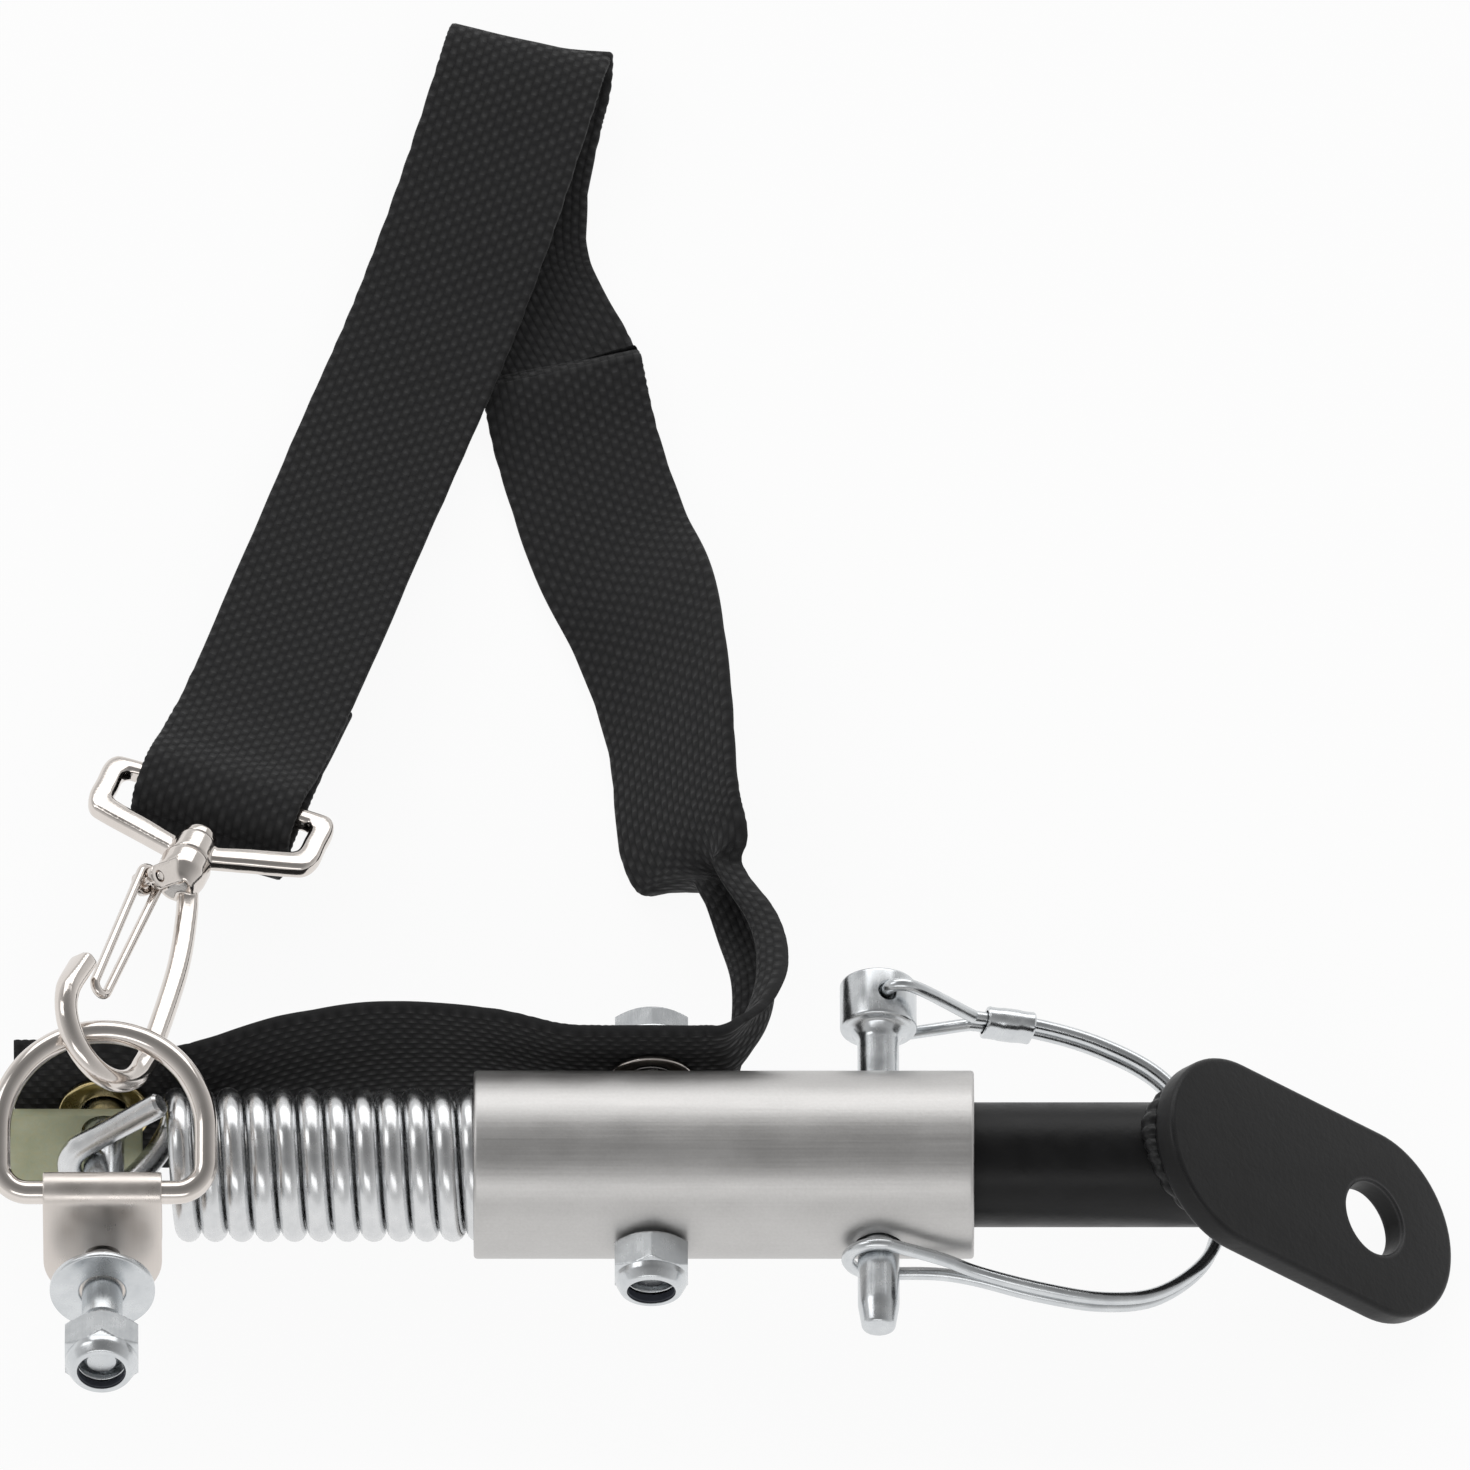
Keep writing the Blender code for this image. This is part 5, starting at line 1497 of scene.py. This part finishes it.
def strap_section():
    """One turn round the strap's section: top from right to left, then the bottom back."""
    right = list(reversed(RIM))
    top = right + [(u, STRAP_THICK / 2) for u in FACE] + [(-u, v) for u, v in RIM]
    return top + [(-u, -v) for u, v in top[1:-1]]


def woven_strap(steps=14):
    spots = smooth(strap_keys, steps)
    centres = [Vector(spot[:3]) for spot in spots]
    section = strap_section()
    bolts = [TOW @ Vector((0, TOW_STRAP_BACK, 0)), Vector((SLEEVE_BOLT_X, SLEEVE_STRAP_BACK, 0))]
    points = []
    flat = []
    walked = 0.0
    for index, (centre, head) in enumerate(zip(centres, headings(centres, False))):
        across = Vector(spots[index][3:6])
        gather = min(1.0, max(0.0, spots[index][6]))
        across = (across - head * across.dot(head)).normalized()
        lift = head.cross(across)
        if index:
            walked += (centre - centres[index - 1]).length
        from_bolt = min((centre - bolt).length for bolt in bolts)
        calm = min(1.0, max(0.0, from_bolt - CALM_FROM) / CALM_OVER)
        for u, v in section:
            tooth = 0.0
            if abs(u) > SELVEDGE:
                tooth = TOOTH * math.sin(walked * math.tau / YARN_LONG)
            ripple = RIPPLE * calm * noise.noise((walked * 0.06, u * 0.1, 2))
            side = u + math.copysign(tooth, u)
            side += (GATHER_TO - side) * GATHER_NARROW * gather
            pleat = PLEAT_DEEP * gather * math.cos(u * math.tau / PLEAT_LONG)
            point = centre + across * side + lift * (v + ripple + pleat)
            point.z = max(point.z, floor_at(point.x, ON_TABLE))
            points.append(point)
            flat.append((u, walked))
    made = solid("woven_safety_strap", points, skin(len(centres), len(section), False), HERE)
    weave = made.data.uv_layers.new(name="weave")
    for corner in made.data.loops:
        weave.data[corner.index].uv = flat[corner.vertex_index]
    return made, walked


strap, strap_length = woven_strap()
hole = EYELET_BARREL + GAP
punches = []
for back_by, place in ((SLEEVE_STRAP_BACK, AT_SLEEVE_BOLT), (TOW_STRAP_BACK, AT_TOW_BOLT)):
    punches.append(lathe("punch", [(hole, -back_by - 2), (hole, -back_by + 2)], place, 40))
cut(strap, *punches)
dress(strap, WEBBING, HERE, sharp=70)
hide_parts("safety_strap")
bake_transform(strap)
print("strap:", round(strap_length), "mm,", len(strap.data.polygons), "faces")

# %% [markdown]
# ## Floor, world and lamps
#
# Bare metal shows its surroundings, so the room matters as much as the finish. A wide panel behind
# gives the bright band along the top of the sleeve, the world is dimmer overhead than at the
# horizon, and the white floor lights the lower half. To a camera ray or a mirror ray the floor
# mostly glows white, and the rest of it takes the soft shadow.

# %% Floor
FLOOR_HALF = 6.0
FLOOR_GLOW = 0.93
FLOOR_DROP = 0.0004


def white_floor():
    made = Finish("white_floor", roughness=0.9, specular_ior_level=0.0)
    made.set(base_color=colour(0.93, 0.93, 0.93))
    ray = made.node("ShaderNodeLightPath")
    seen = ray + ray.other("Is Glossy Ray") + ray.other("Is Transmission Ray")
    glow = made.node("ShaderNodeEmission", None, {"Color": colour(1, 1, 1), "Strength": 1.0})
    plain = Output(made, made.shader.outputs[0])
    share = seen.at_most(1.0) * FLOOR_GLOW
    mixed = made.node("ShaderNodeMixShader", None, {0: share, 1: plain, 2: glow})
    made.give(made.tree.nodes["Material Output"].inputs["Surface"], mixed)
    return made.material


floor_mesh = bpy.data.meshes.new("floor")
corners = []
for x, y in ((-1, -1), (1, -1), (1, 1), (-1, 1)):
    corners.append((x * FLOOR_HALF, y * FLOOR_HALF, -FLOOR_DROP))
floor_mesh.from_pydata(corners, [], [(0, 1, 2, 3)])
floor_mesh.materials.append(white_floor())
floor = bpy.data.objects.new("floor", floor_mesh)
bpy.context.scene.collection.objects.link(floor)
print("floor", 2 * FLOOR_HALF, "m wide")

# %% World and lamps
HORIZON = 0.78
OVERHEAD = 0.24


def studio_world():
    made = bpy.data.worlds.new("studio")
    made.use_nodes = True
    nodes = Nodes(made.node_tree)
    way = nodes.node("ShaderNodeTexCoord")
    height = nodes.node("ShaderNodeSeparateXYZ", None, {0: way}, "Z").at_least(0.0)
    seen = nodes.node("ShaderNodeLightPath")
    strength = (HORIZON - (HORIZON - OVERHEAD) * height).at_least(seen)
    background = nodes.tree.nodes["Background"]
    nodes.give(background.inputs["Color"], colour(1, 1, 1))
    nodes.give(background.inputs["Strength"], strength)
    return made


def panel(name, target, azimuth, elevation, away, size, power):
    data = bpy.data.lights.new(name, "AREA")
    data.shape = "RECTANGLE"
    data.size, data.size_y = size
    data.energy = power
    lamp = bpy.data.objects.new(name, data)
    flat = math.cos(math.radians(elevation))
    way = Vector((
        math.sin(math.radians(azimuth)) * flat,
        math.cos(math.radians(azimuth)) * flat,
        math.sin(math.radians(elevation)),
    ))
    lamp.location = target + way * away
    lamp.rotation_euler = way.to_track_quat("Z", "Y").to_euler()
    bpy.context.scene.collection.objects.link(lamp)


bpy.context.scene.world = studio_world()
target = world(HERE, AIM)
panel("back_panel", target, 0, 38, 2.4, (3.2, 1.5), 23.0)
panel("front_panel", target, 190, 32, 2.6, (2.2, 0.7), 7.0)
panel("side_panel", target, -75, 40, 2.4, (0.8, 1.2), 5.0)
bpy.context.scene.view_settings.view_transform = "Standard"
print("lamps:", 3)
